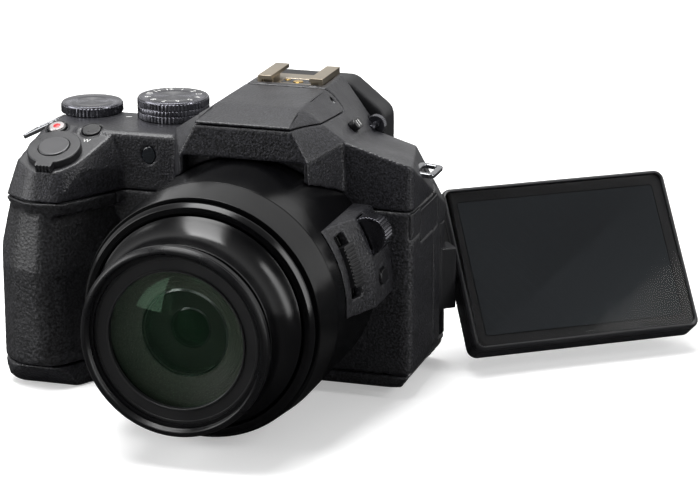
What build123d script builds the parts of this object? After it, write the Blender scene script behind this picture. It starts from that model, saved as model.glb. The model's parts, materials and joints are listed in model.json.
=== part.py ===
from build123d import *
import os
from math import atan2, ceil, cos, pi, radians, sin, sqrt, tan

# A bridge camera with a fixed zoom lens, a hand grip, a pop-up flash and a screen on a side hinge.
# Millimetres. X runs to the camera's left side, where the screen hinges, Y to the back and Z up.
# The origin is the mouth of the tripod socket, in the base under the lens axis.

# Whole body
lens_z = 38.3
front_y = -21.0
rear_y = 21.5
side_x = 48.5
deck_z = 78.0
hump_top = deck_z + 11.8
base_top = 7.5
cover_bottom = deck_z - 18.0
rear_split = 4.0

# Common walls, gaps and overruns
wall = 1.8
run_gap = 0.08
slide_gap = 0.3
seam_gap = 0.15
cut_over = 1.0
far = 300.0

# Body corners
side_round = 3.0
rear_round = 5.0
base_round = 12.0
base_rise = 4.0
base_slope = 10.0
deck_drop = 0.8
deck_slope = 1.6
deck_fall_y = 3.0
deck_rear_z = deck_z - 5.8
shoulder_x = 27.0
shoulder_z = deck_z + 2.2
shoulder_low_z = deck_z - 4.2
shoulder_rear_z = deck_z - 7.7
shoulder_rear_x = 36.0
corner_y = 15.0
corner_high_x = 40.0
corner_high_z = deck_z - 9.0
corner_low_x = 46.5
corner_low_z = 57.5
block_left = -60.0

# Grip
grip_x = -80.5
grip_in_x = -44.0
grip_front_y = -46.0
grip_top_front_y = -40.2
plate_back_y = -17.5
plate_front_z = deck_z - 9.0
ridge_z = cover_bottom - 0.7
ridge_deep = 4.0
grip_side_round = 12.0
grip_nose_round = 6.0
grip_base_slope = 8.0
grip_plan_shares = ((0.03, 0.36), (0.23, 0.08), (0.5, -0.02), (0.66, 0.16), (1.0, 1.0))
grip_plan_rounds = (8.0, 12.0, 6.5, 14.0)
neck_plan_shares = ((0.064, 0.365), (0.361, 0.070), (0.652, 0.110), (0.842, 0.353), (1.267, 1.553))
neck_plan_rounds = (8.0, 9.0, 9.0, 12.0)
neck_taper = 18.0
ridge_taper = 32.0
waist_taper = 12.0
waist_reach = 3.0
rubber = 1.6
rubber_back_y = 2.0

# Lens: every radius is from the lens axis, every y is in the body's frame
filter_thread_r = 26.0
filter_thread_depth = 2.2
front_tube_in_r = filter_thread_r - 1.1
front_tube_r = front_tube_in_r + 0.92
ring_r = filter_thread_r + 2.3
middle_bore_r = front_tube_r + run_gap
middle_neck_r = middle_bore_r + 1.3
middle_r = middle_bore_r + 6.0
rim_bore_r = middle_r + slide_gap
housing_in_r = rim_bore_r + 1.2
housing_r = housing_in_r + 4.2
housing_tail_r = housing_in_r + 1.6
barrel_front_r = housing_in_r + 3.0
groove_r = housing_in_r + 1.2
rim_r = housing_in_r + 2.0
rim_face_r = rim_r - 1.0
housing_front_y = -60.5
housing_tail_y = -14.0
barrel_front_y = -73.5
rim_back_y = -75.0
rim_face_y = -77.2
rim_spigot = 3.5
middle_back_y = -44.0
middle_front_y = -90.7
flare_shares = ((0.0, 0.0), (0.32, 0.04), (0.55, 0.14), (0.74, 0.32), (0.88, 0.58), (1.0, 1.0))
guide_long = 4.0
front_tube_back_y = -62.0
ring_face_y = -97.7
ring_back_y = -94.2
ring_chamfer = 0.9
name_ring_in_r = front_tube_in_r - 4.0
name_ring_thick = 1.0
name_ring_y = -94.3
retainer_in_r = name_ring_in_r - 0.6
retainer_proud = 0.6
front_glass_r = name_ring_in_r + 1.7
front_glass_sag_r = 130.0
front_glass_back_y = -88.5
cell_back_y = -86.0
baffle_in_y = -86.9
baffle_hole_r = front_glass_r - 10.0
baffle_tube = 1.0
baffle_thick = 1.5
second_glass_sag_r = 3 * baffle_hole_r
second_glass_y = -87.8
second_glass_back_y = -84.0
stop_y = -82.0
stop_thick = 1.2
third_glass_r = baffle_hole_r - 7.0
third_glass_sag_r = 1.6 * third_glass_r
third_glass_y = -83.6
third_glass_back_y = -79.5

# Back of the lens and sensor
lens_base_thick = 2.5
lens_base_hole_r = 13.0
rear_cell_r = 17.0
rear_cell_front_y = -24.0
sensor_board_w = 34.0
sensor_board_h = 30.0
sensor_board_thick = 1.2
sensor_w = 11.0
sensor_h = 9.0
sensor_thick = 1.3

# Side control panel, round the lens axis; angles from the camera's left, upwards
panel_front_y = -53.0
panel_front_r = housing_r + 0.3
panel_edge_y = -49.6
panel_edge_r = housing_r + 0.9
panel_crease_y = -38.0
panel_crease_r = housing_r + 5.0
panel_low_deg = -5.0
panel_high_deg = 41.0
panel_top_z = lens_z + 23.2
slot_y = -47.0
slot_width = 4.6
slot_low_deg = 3.0
slot_high_deg = 32.0
slot_depth = 3.0
lever_low_deg = 8.0
lever_high_deg = 26.5
lever_rise = 1.0
lever_ribs = 12
lever_rib_depth = 0.5
side_dial_x = housing_r + 1.4
side_dial_z = lens_z + 17.7
side_dial_r = 5.9
side_dial_front_y = -36.0
side_dial_back_y = -29.5
side_dial_teeth = 36
side_dial_dish_r = 4.6
side_dial_dish = 0.7
focus_deg = 5.7
focus_y = -31.0
focus_long = 7.0
focus_wide = 4.4
focus_rise = 0.7
focus_skirt = 1.0
focus_travel = 0.5
sector_step_deg = 10.0

# Hump: half widths and heights of three sections
hump_front_y = -36.0
hump_mid_y = -20.0
hump_back_y = 25.0
hump_front_top_x = 14.8
hump_front_top_z = hump_top - 2.5
hump_front_low_x = 20.2
hump_front_low_z = deck_z - 1.2
hump_mid_top_x = 13.4
hump_mid_low_x = 27.2
hump_mid_low_z = shoulder_z
hump_back_top_x = 12.4
hump_back_low_x = 24.0
hump_back_low_z = deck_z - 4.0
hump_foot = 0.8
undercut_x = 19.2
undercut_z = deck_z - 1.5
undercut_deep = 5.0
hump_low_left_x = -30.0

# Pop-up flash lid
flash_hinge_y = 3.6
flash_hinge_r = 3.3
flash_pin_r = 0.8
flash_seam_front_z = hump_top - 3.2
flash_bay_x = 11.0
flash_bay_low_z = hump_top - 11.2
flash_bay_front_y = -32.5
flash_box_x = 9.5
flash_box_low_z = hump_top - 10.6
flash_box_front_y = -31.0
flash_box_back_y = -20.0
flash_window_thick = 1.0
flash_window_z = hump_top - 6.2
flash_pin_x = 15.0

# Hot shoe, to ISO 518
shoe_front_y = 9.6
shoe_back_y = 27.8
shoe_floor_z = hump_top - 1.6
shoe_sheet = 0.8
shoe_outer_x = 10.65
shoe_slot_x = 9.3
shoe_lip_x = 6.25
shoe_slot_h = 2.0
shoe_stop_in = 1.6
shoe_top_z = shoe_floor_z + 3.3
contact_r = 0.9
contact_main_r = 1.6
contact_pitch = 4.0
contact_pad_x = 5.4
contact_pad_y = 6.0

# Viewfinder
finder_z = hump_top - 16.8
eye_back_y = 30.0
eye_x = 19.0
eye_top_x = 10.0
eye_low_z = cover_bottom + 2.0
eye_high_z = hump_top - 5.8
cup_front_y = 28.3
cup_back_y = 39.5
cup_x = 25.4
cup_low_z = cover_bottom - 1.5
cup_high_z = hump_top - 2.8
cup_top_x = 13.0
cup_side_z = deck_z - 1.0
cup_round = 5.0
cup_hole_x = 13.0
cup_hole_low_z = finder_z - 8.0
cup_hole_high_z = finder_z + 8.0
cup_hole_round = 4.0
eye_glass_x = 10.0
eye_glass_h = 12.0
eye_glass_thick = 2.0
finder_end_y = 12.0
dioptre_x = 24.2
dioptre_y = 21.4
dioptre_z = deck_z - 3.0
dioptre_r = 3.2
dioptre_w = 2.4

# Top dials
mode_x = -36.4
mode_y = 3.0
mode_r = 11.4
mode_h = 6.4
mode_groove_shares = (0.3, 0.58)
mode_teeth = 60
control_x = -63.5
control_y = 2.0
control_r = 9.9
control_h = 3.0
control_teeth = 50
tooth_depth = 0.35
dial_stem_r = 3.0
dial_stem = 5.0
dial_edge = 0.5

# Shutter button, zoom ring and the two buttons behind them, on the sloping plate
shutter_x = -62.5
shutter_y = -31.0
shutter_r = 5.0
shutter_top = 2.8
shutter_skirt = 1.5
shutter_travel = 0.8
zoom_ring_r = 8.4
zoom_ring_h = 2.2
zoom_hub_r = 6.8
zoom_hub = 2.5
zoom_tab_w = 5.4
zoom_tab_out = 1.6
zoom_tab_ribs = 5
stem_r = 2.0
stem_len = 3.5
small_r = 2.9
small_rise = 0.7
small_skirt = 1.2
small_travel = 0.5
movie_x = -66.5
small_y = -19.4
burst_x = -55.0

# Front lamp and microphones
lamp_x = -35.8
lamp_z = deck_z - 6.8
lamp_half_w = 2.2
lamp_half_h = 2.8
lamp_thick = 1.4
mic_x = 8.3
mic_y = 6.6
mic_w = 3.6
mic_d = 0.9
mic_deep = 0.6

# Flash-open switch on the hump's left flank
switch_x = 24.2
switch_y = 1.0
switch_z = shoulder_z
switch_long = 6.4
switch_wide = 3.6
switch_rise = 1.2
switch_skirt = 1.2
switch_travel = 0.8
switch_lean = 52.0

# Screen and its hinge. The screen's own frame runs out along the arm, up its face and out of its glass
pivot_x = 44.0
pivot_y = 16.5
arm_z = 28.3
open_deg = 35.8
lean_deg = 36.8
case_start = 7.9
case_long = 77.4
case_half = 27.4
case_thick = 9.2
case_round = 3.2
case_wall = 1.2
frame_deep = 2.6
glass_in = 1.3
glass_thick = 0.9
glass_sunk = 0.1
panel_in = 3.6
panel_thick = 1.2
case_edge = 0.8
knuckle_r = 4.4
pin_r = 1.6
pin_low = 4.0
pin_high = 53.0
block_low_z = 10.0
block_high_z = 47.0
web_half = 3.8
web_up = 10.0
web_out = 7.3
shaft_r = 2.2
shaft_in = 3.4
shaft_disc_r = 3.0
shaft_disc = 1.0
bearing_long = 1.4
recess_floor_y = 11.4
recess_left = -42.2
recess_right = 38.8
recess_high_z = 56.6

# Power and card
battery_x0 = -73.0
battery_x1 = -57.5
battery_y0 = -31.0
battery_y1 = 0.5
battery_long = 56.5
battery_gap = 0.1
box_wall = 0.9
card_x0 = -74.2
card_x1 = -50.2
card_thick = 2.1
card_long = 32.0
slot_wall = 0.6
slot_gap = 0.15
door_x0 = -74.4
door_x1 = -50.0
door_front_y = -34.2
door_corner_y = -28.0
door_thick = 2.4
door_pivot_y = 8.0
door_pin_r = 0.6
door_pin_out = 1.5

# Main board
board_x0 = -40.0
board_x1 = 36.0
board_z0 = 14.0
board_z1 = 54.0
board_y = 5.0
bulkhead_y = -9.5
board_thick = 1.2
boss_r = 2.2
chip_w = 14.0
chip_h = 1.2

# Base: tripod socket, screws
socket_r = 3.175
socket_outer_r = 6.0
socket_deep = 6.5
base_floor = 2.2
screw_r = 1.4
screw_head_r = 2.3
screw_head = 1.2
screw_long = 6.0

# Side: sockets with caps, strap lugs
cap_y0 = -20.0
cap_y1 = -11.5
cap_z0 = 51.0
cap_z1 = 59.0
cap_thick = 1.5
port_y0 = -11.0
port_y1 = 8.0
socket_wall = 2.5
plug_y = -2.0
port_z0 = 48.0
port_z1 = 58.0
cap_pivot_in = 0.75
jack_r = 3.0
jack_bore_r = 1.75
jack_long = 9.0
jack_y = -15.7
plug_w = 9.0
plug_h = 3.6
plug_deep = 6.0
lug_y = -1.0
grip_lug_x = -75.0
grip_lug_z = deck_z - 3.7
grip_lug_long = 12.0
grip_lug_tilt = 27.0
right_lug_x = 45.5
right_lug_z = deck_z - 10.0
right_lug_long = 7.6
right_lug_tilt = 5.0
lug_wide = 12.0
lug_thick = 1.4
lug_wire = 1.8
lug_root_long = 3.0

# Back of the grip side
thumb_x0 = -76.5
thumb_x1 = -46.0
thumb_z0 = 34.0
thumb_z1 = 57.0
thumb_thick = 1.8
pad_x = -60.5
pad_z = 20.0
pad_r = 8.6
menu_x = -70.5
menu_z = 29.0
set_r = 3.5
back_rise = 0.9
back_skirt = 1.2
back_button_r = 2.6
rear_dial_x = -58.0
rear_dial_y = 16.6
rear_dial_z = cover_bottom + 2.0
rear_dial_r = 8.4
rear_dial_h = 4.0
rear_dial_teeth = 44
small_pin_r = 1.0
back_travel = 0.5


def block(x0, x1, y0, y1, z0, z1):
    """A box between two corners."""
    return Pos((x0 + x1) / 2, (y0 + y1) / 2, (z0 + z1) / 2) * Box(x1 - x0, y1 - y0, z1 - z0)


def outline(points, rounds=None):
    """A flat face through points, with some corners rounded: rounds maps a corner's index to a radius."""
    face = make_face(Polyline(*points, close=True))
    for index, radius in (rounds or {}).items():
        corner = face.vertices().sort_by_distance(Vector(*points[index]))[0]
        face = fillet(corner, radius)
    return face


def along_x(face, x0, x1):
    """A (y, z) outline pulled from x0 to x1."""
    return Pos(x0, 0, 0) * extrude(Plane.YZ * face, amount=x1 - x0)


def along_y(face, y0, y1):
    """An (x, z) outline pulled from y0 to y1."""
    return Pos(0, y1, 0) * extrude(Plane.XZ * face, amount=y1 - y0)


def along_z(face, z0, z1):
    """An (x, y) outline pulled from z0 to z1."""
    return Pos(0, 0, z0) * extrude(face, amount=z1 - z0)


def turned(points):
    """A ring about the lens axis, from (radius, y) points."""
    return Pos(0, 0, lens_z) * revolve(make_face(Polyline(*points, close=True)), Axis.Y)


def tube(outer, inner, y0, y1):
    """A plain tube about the lens axis; a solid disc where inner is zero."""
    return turned([(inner, y0), (outer, y0), (outer, y1), (inner, y1)])


def rod(x, z, radius, y0, y1):
    """A round rod along Y."""
    return Pos(x, (y0 + y1) / 2, z) * Rot(90, 0, 0) * Cylinder(radius, y1 - y0)


def post(x, y, radius, z0, z1):
    """A round rod along Z."""
    return Pos(x, y, (z0 + z1) / 2) * Cylinder(radius, z1 - z0)


def bar(y, z, radius, x0, x1):
    """A round rod along X."""
    return Pos((x0 + x1) / 2, y, z) * Rot(0, 90, 0) * Cylinder(radius, x1 - x0)


def knurled(radius, depth, teeth, height):
    """A short drum with a toothed edge, standing on its frame's origin."""
    points = []
    for k in range(2 * teeth):
        r = radius if k % 2 else radius - depth
        points.append((r * cos(pi * k / teeth), r * sin(pi * k / teeth)))
    return extrude(make_face(Polyline(*points, close=True)), amount=height)


def above(a, b, c):
    """Everything on the upper side of the plane through three points."""
    normal = (Vector(*b) - Vector(*a)).cross(Vector(*c) - Vector(*a))
    if normal.Z < 0:
        normal = -normal
    side = Plane(origin=a, z_dir=normal)
    return side * Box(far, far, far, align=(Align.CENTER, Align.CENTER, Align.MIN))


def sector(low_deg, high_deg, radius):
    """A wedge of space about the lens axis, seen from the front, as an (x, z) outline."""
    points = [(0, lens_z)]
    steps = max(2, ceil((high_deg - low_deg) / sector_step_deg))
    for k in range(steps + 1):
        turn = radians(low_deg + (high_deg - low_deg) * k / steps)
        points.append((radius * cos(turn), lens_z + radius * sin(turn)))
    return outline(points)


def main_block():
    """The body without grip and hump, with the sloping left shoulder."""
    front_view = outline(
        [(block_left, 0), (side_x, 0), (side_x, shoulder_low_z), (shoulder_x, shoulder_z),
         (-hump_back_top_x, shoulder_z), (-hump_back_top_x, deck_z), (block_left, deck_z)],
        {1: base_round, 2: side_round})
    plan = outline([(block_left, front_y), (side_x, front_y), (side_x, rear_y), (block_left, rear_y)],
                   {1: side_round, 2: rear_round})
    solid = along_y(front_view, front_y, rear_y) & along_z(plan, 0, hump_top)
    solid -= above((shoulder_x, front_y, shoulder_z), (side_x, front_y, shoulder_low_z),
                   (shoulder_rear_x, rear_y - wall, shoulder_rear_z))
    solid -= above((corner_high_x, corner_y, corner_high_z), (corner_low_x, corner_y, corner_low_z),
                   (side_x, front_y, shoulder_low_z))
    solid -= along_x(outline([(front_y, deck_z - deck_drop), (front_y + deck_slope, deck_z),
                              (front_y - cut_over, deck_z + cut_over)]), block_left, -shoulder_x)
    solid -= along_x(outline([(front_y, base_rise), (front_y - cut_over, -cut_over),
                              (front_y + base_slope, 0)]), block_left, side_x)
    return solid


def grip_corners(shares, skin):
    """Plan corners of the grip, given as shares of its width and of its depth before the body."""
    left, inner, nose = grip_x + skin, grip_in_x - skin, grip_front_y + skin
    return [Vector(left + (inner - left) * x_share, nose + (front_y - nose) * y_share)
            for x_share, y_share in shares]


def flared(corners, radii, z0, z1, taper):
    """A plan with rounded front corners, drawn in from z0 to z1 and open past the grip's back."""
    points = [Vector(corners[-1].X, 2 * rear_y), Vector(corners[0].X, 2 * rear_y)] + corners
    draw = abs(z1 - z0) * tan(radians(taper))
    ends = []
    for z, by in ((z0, 0), (z1, draw)):
        moved = []
        for before, here, after in zip(points[-1:] + points[:-1], points, points[1:] + points[:1]):
            first = Vector(0, 0, 1).cross((here - before).normalized())
            second = Vector(0, 0, 1).cross((after - here).normalized())
            spot = here + (first + second) * (by / (1 + first.dot(second)))
            moved.append((spot.X, spot.Y))
        ends.append(Pos(0, 0, z) * outline(moved, {k + 2: r - by for k, r in enumerate(radii)}))
    return loft(ends, ruled=True)


def grip_block(skin):
    """The hand grip: a plan with a waist under the shutter housing, cut by its side and front views."""
    left, inner, nose = grip_x + skin, grip_in_x - skin, grip_front_y + skin
    r = grip_nose_round
    corners = grip_corners(grip_plan_shares, skin)
    rounds = {k + 2: radius for k, radius in enumerate(grip_plan_rounds)}
    plan = outline([(inner, rear_y), (left, rear_y)] + [(c.X, c.Y) for c in corners],
                   {1: grip_side_round, **rounds})
    wide = [corners[0] + (corners[0] - corners[1]).normalized() * waist_reach, *corners[1:-1],
            corners[-1] + (corners[-1] - corners[-2]).normalized() * 2 * waist_reach]
    neck = grip_corners(neck_plan_shares, skin)
    high = deck_z + cut_over
    stack = along_z(plan, -cut_over, lens_z)
    stack += flared(wide, grip_plan_rounds, lens_z, ridge_z, waist_taper)
    stack += flared(neck, neck_plan_rounds, ridge_z, ridge_z - ridge_deep, ridge_taper)
    stack += flared(neck, neck_plan_rounds, ridge_z, high, neck_taper)
    plate_run = (plate_back_y - nose) / (plate_back_y - grip_top_front_y)
    side_view = outline(
        [(rear_y + cut_over, -cut_over), (rear_y + cut_over, deck_z), (plate_back_y, deck_z),
         (nose, deck_z - (deck_z - plate_front_z) * plate_run), (nose, base_top + wall),
         (nose + grip_base_slope, 0), (nose + grip_base_slope + cut_over, -cut_over)],
        {4: r / 3})
    front_view = outline(
        [(inner + cut_over, 0), (left + r, 0), (left + r / 6, base_top), (left - cut_over / 4, 3 * r),
         (left - cut_over / 4, lens_z), (left + 0.7 * r, cover_bottom), (left + 1.15 * r, plate_front_z),
         (left + 1.5 * r, deck_z - r / 3), (left + 2 * r, deck_z + cut_over),
         (inner + cut_over, deck_z + cut_over)],
        {1: r / 2, 4: 3 * r, 5: 2 * r, 6: r})
    return (stack & along_z(plan, -cut_over, high)
            & along_x(side_view, left - cut_over, inner + 2 * cut_over)
            & along_y(front_view, nose - 2 * cut_over, rear_y + 2 * cut_over))


def hump_section(y, top_x, top_z, low_x, low_z):
    """One section across the hump, down into the cover."""
    foot_x = low_x + hump_foot
    points = [(-foot_x, y, cover_bottom), (-low_x, y, low_z), (-top_x, y, top_z),
              (top_x, y, top_z), (low_x, y, low_z), (foot_x, y, cover_bottom)]
    return make_face(Polyline(*points, close=True))


def hump_block():
    """The housing of flash and viewfinder over the lens."""
    mid_z = hump_top - (hump_top - hump_front_top_z) / 8
    sections = [
        hump_section(hump_front_y, hump_front_top_x, hump_front_top_z, hump_front_low_x, hump_front_low_z),
        hump_section(hump_mid_y, hump_mid_top_x, mid_z, hump_mid_low_x, hump_mid_low_z),
        hump_section(hump_back_y, hump_back_top_x, hump_top, hump_back_low_x, hump_back_low_z)]
    return loft(sections, ruled=True)


def deck_fall():
    """The wedge of air over the deck's rear, which falls away beside the dials."""
    high = deck_z + 2 * cut_over
    side_view = outline([(deck_fall_y, deck_z), (rear_y + cut_over, deck_rear_z),
                         (rear_y + cut_over, high), (deck_fall_y, high)])
    wedge = along_x(side_view, grip_x - cut_over, -hump_back_top_x)
    wedge -= post(mode_x, mode_y, mode_r - cut_over, cover_bottom, deck_z)
    return wedge - post(control_x, control_y, control_r - cut_over, cover_bottom, deck_z)


grip_outer = grip_block(0)
grip_core = grip_block(rubber)
hump = hump_block()
body = main_block() + grip_outer - deck_fall() + hump
grip_skin = (grip_outer - grip_core) & block(
    grip_x - cut_over, grip_in_x - rubber, grip_front_y - cut_over, rubber_back_y, base_top + seam_gap,
    cover_bottom - seam_gap)
lens_clear = tube(housing_r + seam_gap, 0, ring_face_y, front_y)
lens_tail_clear = tube(housing_tail_r, 0, front_y - cut_over, housing_tail_y + lens_base_thick)


def plate_z(y):
    """The height of the sloping grip plate at y."""
    return deck_z - (plate_back_y - y) * (deck_z - plate_front_z) / (plate_back_y - grip_top_front_y)


plate_tilt = atan2(deck_z - plate_front_z, plate_back_y - grip_top_front_y)


def on_plate(x, y):
    """A frame on the grip plate, with its z axis out of it."""
    return Plane(origin=(x, y, plate_z(y)), x_dir=(1, 0, 0), z_dir=(0, -sin(plate_tilt), cos(plate_tilt)))


def disc(radius, low, high):
    """A round piece along a frame's own z, between two heights."""
    return Pos(0, 0, (low + high) / 2) * Cylinder(radius, high - low)


def key(long, wide, low, high):
    """A round-ended piece along a frame's own x, between two heights."""
    return Pos(0, 0, low) * extrude(SlotOverall(long, wide), amount=high - low)


def flash_seam(grow):
    """The pop-up lid's space in side view: a wedge over the bay, rounded about its hinge."""
    hinge_z = hump_top - flash_hinge_r
    radius = flash_hinge_r + grow
    points = [(hump_front_y - cut_over, flash_seam_front_z - grow), (flash_hinge_y, hinge_z - radius),
              (flash_hinge_y, hump_top + cut_over), (hump_front_y - cut_over, hump_top + cut_over)]
    return along_x(outline(points), -shoulder_x, shoulder_x) + bar(
        flash_hinge_y, hinge_z, radius, -shoulder_x, shoulder_x)


def shoe_space():
    """The pocket that the hot shoe stands in."""
    return block(-shoe_outer_x, shoe_outer_x, shoe_front_y, shoe_back_y,
                 shoe_floor_z - shoe_sheet, shoe_top_z)


def power_space(grow, z0, z1):
    """The outer shape of the battery box and the card sleeve behind it."""
    edge = battery_gap + box_wall + grow
    sleeve = slot_gap + slot_wall + grow
    solid = block(battery_x0 - edge, battery_x1 + edge, battery_y0 - edge, battery_y1 + edge, z0, z1)
    solid += block(card_x0 - sleeve, card_x1 + sleeve, battery_y1, card_y0 + card_thick + sleeve, z0, z1)
    return solid


card_y0 = battery_y1 + battery_gap + box_wall + slot_gap
power_low_z = door_thick + slide_gap
battery_z0 = door_thick + battery_gap
battery_z1 = battery_z0 + battery_long
card_z0 = power_low_z


def inner_spaces():
    """The hollow inside the shells."""
    inside_back = recess_floor_y - wall
    hollow = block(recess_left - wall, side_x - wall, front_y + wall, inside_back, base_floor, cover_bottom)
    hollow += block(battery_x1, recess_left - 2 * wall, front_y + wall, inside_back, base_top, cover_bottom)
    hollow += power_space(slide_gap, base_top, cover_bottom)
    return hollow


def screen_recess():
    """The back's recess for the closed screen, open at its bottom, and the notch of the hinge."""
    space = block(recess_left, recess_right, recess_floor_y, rear_y + cut_over, -cut_over, recess_high_z)
    space += block(recess_right - cut_over, side_x + cut_over, recess_floor_y, rear_y + cut_over,
                   block_low_z - slide_gap, block_high_z + slide_gap)
    return space


def bosses():
    """Posts behind the main board."""
    spots = [(x, z) for x in (board_x0 + 2 * boss_r, board_x1 - 2 * boss_r)
             for z in (board_z0 + 2 * boss_r, board_z1 - 2 * boss_r)]
    return [rod(x, z, boss_r, board_y + board_thick, recess_floor_y - wall) for x, z in spots]


side_flaps = {"mic_cap": (cap_y0, cap_y1, cap_z0, cap_z1), "port_door": (port_y0, port_y1, port_z0, port_z1)}
middle_front_x = side_x - cap_thick


def flap_space(name, gap):
    """The space of a flap in the side wall, rounded about its hinge line along its lower edge."""
    y0, y1, z0, z1 = side_flaps[name]
    turn_z = z0 + cap_pivot_in
    space = block(middle_front_x - gap, side_x + cut_over, y0 - gap, y1 + gap, turn_z, z1 + gap)
    return space + rod(side_x - cap_pivot_in, turn_z, cap_pivot_in + gap, y0 - gap, y1 + gap)


def flap_room(name):
    """A flap's space with its gap, and room below its hinge line for the flap's thickness when it is open."""
    y0, y1, z0, _ = side_flaps[name]
    return flap_space(name, seam_gap) + block(side_x - cap_pivot_in, side_x + cut_over, y0 - seam_gap,
                                              y1 + seam_gap, z0 - seam_gap, z0 + cap_pivot_in)


back_buttons = {"set_button": (pad_x, pad_z, set_r), "menu_button": (menu_x, menu_z, back_button_r)}


def front_shell():
    solid = body & block(grip_x - cut_over, side_x + cut_over, grip_front_y - cut_over,
                         rear_split - seam_gap, base_top + seam_gap, cover_bottom - seam_gap)
    solid -= grip_skin
    solid -= inner_spaces() - block(middle_front_x - socket_wall, side_x, front_y, rear_split,
                                    port_z0 - wall, cover_bottom)
    solid += block(recess_left - 1.5 * wall, side_x - wall / 2, bulkhead_y, bulkhead_y + wall,
                   base_top + seam_gap, cover_bottom - seam_gap)
    solid -= lens_tail_clear
    solid -= lens_clear
    for name in side_flaps:
        solid -= flap_room(name)
    for socket_outer in socket_shapes():
        solid -= socket_outer
    return solid


def rear_shell():
    solid = body & block(grip_x - cut_over, side_x + cut_over, rear_split, rear_y + cut_over,
                         base_top + seam_gap, cover_bottom - seam_gap)
    solid -= inner_spaces()
    solid -= screen_recess()
    for boss in bosses():
        solid += boss
    solid -= post(pivot_x, pivot_y, pin_r, base_top, cover_bottom)
    for name in side_flaps:
        solid -= flap_room(name)
    low = rear_y - back_skirt - back_travel - run_gap
    solid -= rod(pad_x, pad_z, pad_r + run_gap, low, rear_y + cut_over)
    solid -= rod(menu_x, menu_z, back_button_r + run_gap, low, rear_y + cut_over)
    return solid


def flank_frame():
    """A frame on the hump's left flank, with x along the flank and z out of it."""
    lean = radians(switch_lean)
    return Plane(origin=(switch_x, switch_y, switch_z), x_dir=(0, 1, 0), z_dir=(sin(lean), 0, cos(lean)))


def lamp_outline(gap):
    """The oval of the lamp window, in (x, z)."""
    return Pos(lamp_x, lamp_z) * Ellipse(lamp_half_w + gap, lamp_half_h + gap)


def top_cover():
    solid = body & block(grip_x - cut_over, side_x + cut_over, hump_front_y - 2 * cut_over,
                         hump_back_y + cut_over, cover_bottom, hump_top + cut_over)
    solid += body & block(grip_x - cut_over, hump_low_left_x, grip_front_y, hump_front_y, cover_bottom,
                          deck_z)
    solid -= lens_clear
    solid -= lens_tail_clear
    solid -= block(-undercut_x, undercut_x, hump_front_y - cut_over, hump_front_y + undercut_deep,
                   cover_bottom, undercut_z)
    solid -= block(board_x0, -shoulder_x, front_y + wall, rear_y - wall, cover_bottom, deck_rear_z - wall)
    solid -= block(shoulder_x, side_x - 2 * wall, front_y + wall, pivot_y - 2 * wall, cover_bottom,
                   corner_high_z - 2 * wall)
    solid -= block(-shoulder_x, shoulder_x, front_y + wall, rear_y - wall, cover_bottom,
                   finder_z - eye_glass_h / 2 - wall)
    solid -= flash_seam(slide_gap)
    solid -= block(-flash_bay_x, flash_bay_x, flash_bay_front_y, flash_hinge_y, flash_bay_low_z, hump_top)
    solid -= shoe_space()
    solid += contact_pad()
    for x in (-mic_x, mic_x):
        solid -= block(x - mic_w / 2, x + mic_w / 2, mic_y, mic_y + mic_d, hump_top - mic_deep,
                       hump_top + cut_over)
    solid -= flash_pin()
    solid -= post(mode_x, mode_y, dial_stem_r + run_gap, cover_bottom, deck_z + cut_over)
    solid -= post(control_x, control_y, dial_stem_r + run_gap, deck_z - dial_stem - seam_gap,
                  deck_z + cut_over)
    solid -= on_plate(shutter_x, shutter_y) * disc(zoom_hub_r + run_gap, -zoom_hub, cut_over)
    solid -= on_plate(shutter_x, shutter_y) * disc(
        stem_r + run_gap, -stem_len - shutter_travel - run_gap, cut_over)
    for x in (movie_x, burst_x):
        solid -= on_plate(x, small_y) * disc(
            small_r + run_gap, -small_skirt - small_travel - run_gap, 2 * cut_over)
    solid -= along_y(lamp_outline(0), front_y - cut_over, front_y + lamp_thick)
    solid -= flank_frame() * key(switch_long + 2 * switch_travel + 2 * run_gap, switch_wide + 2 * run_gap,
                                 -switch_skirt, 2 * switch_rise)
    solid -= rod(dioptre_x, dioptre_z, dioptre_r + slide_gap, dioptre_y - seam_gap,
                 dioptre_y + dioptre_w + seam_gap)
    solid -= rod(dioptre_x, dioptre_z, small_pin_r + run_gap, dioptre_y - 2 * dioptre_w, dioptre_y)
    solid -= block(-eye_glass_x, eye_glass_x, finder_end_y, hump_back_y + cut_over,
                   finder_z - eye_glass_h / 2, finder_z + eye_glass_h / 2)
    solid -= post(rear_dial_x, rear_dial_y, rear_dial_r + slide_gap, rear_dial_z - seam_gap,
                  rear_dial_z + rear_dial_h + seam_gap)
    solid -= rear_dial_pin()
    for lug in strap_lugs():
        solid -= lug
    return solid


def contact_pad():
    """The plastic pad that the shoe's contacts stand in."""
    middle = (shoe_front_y + shoe_back_y) / 2
    return block(-contact_pad_x, contact_pad_x, middle - contact_pad_y / 2, middle + contact_pad_y / 2,
                 shoe_floor_z - shoe_sheet, shoe_floor_z) - contact_holes(seam_gap)


def contact_holes(rise):
    """The centre contact and the smaller pins behind it."""
    middle = (shoe_front_y + shoe_back_y) / 2
    low, high = shoe_floor_z - shoe_sheet, shoe_floor_z + rise
    pins = post(0, middle - contact_r, contact_main_r, low, high)
    for x in (-contact_pitch, contact_pitch):
        pins += post(x, middle + contact_r, contact_r, low, high)
    return pins


def shoe_contacts():
    return contact_holes(seam_gap).solids()


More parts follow.
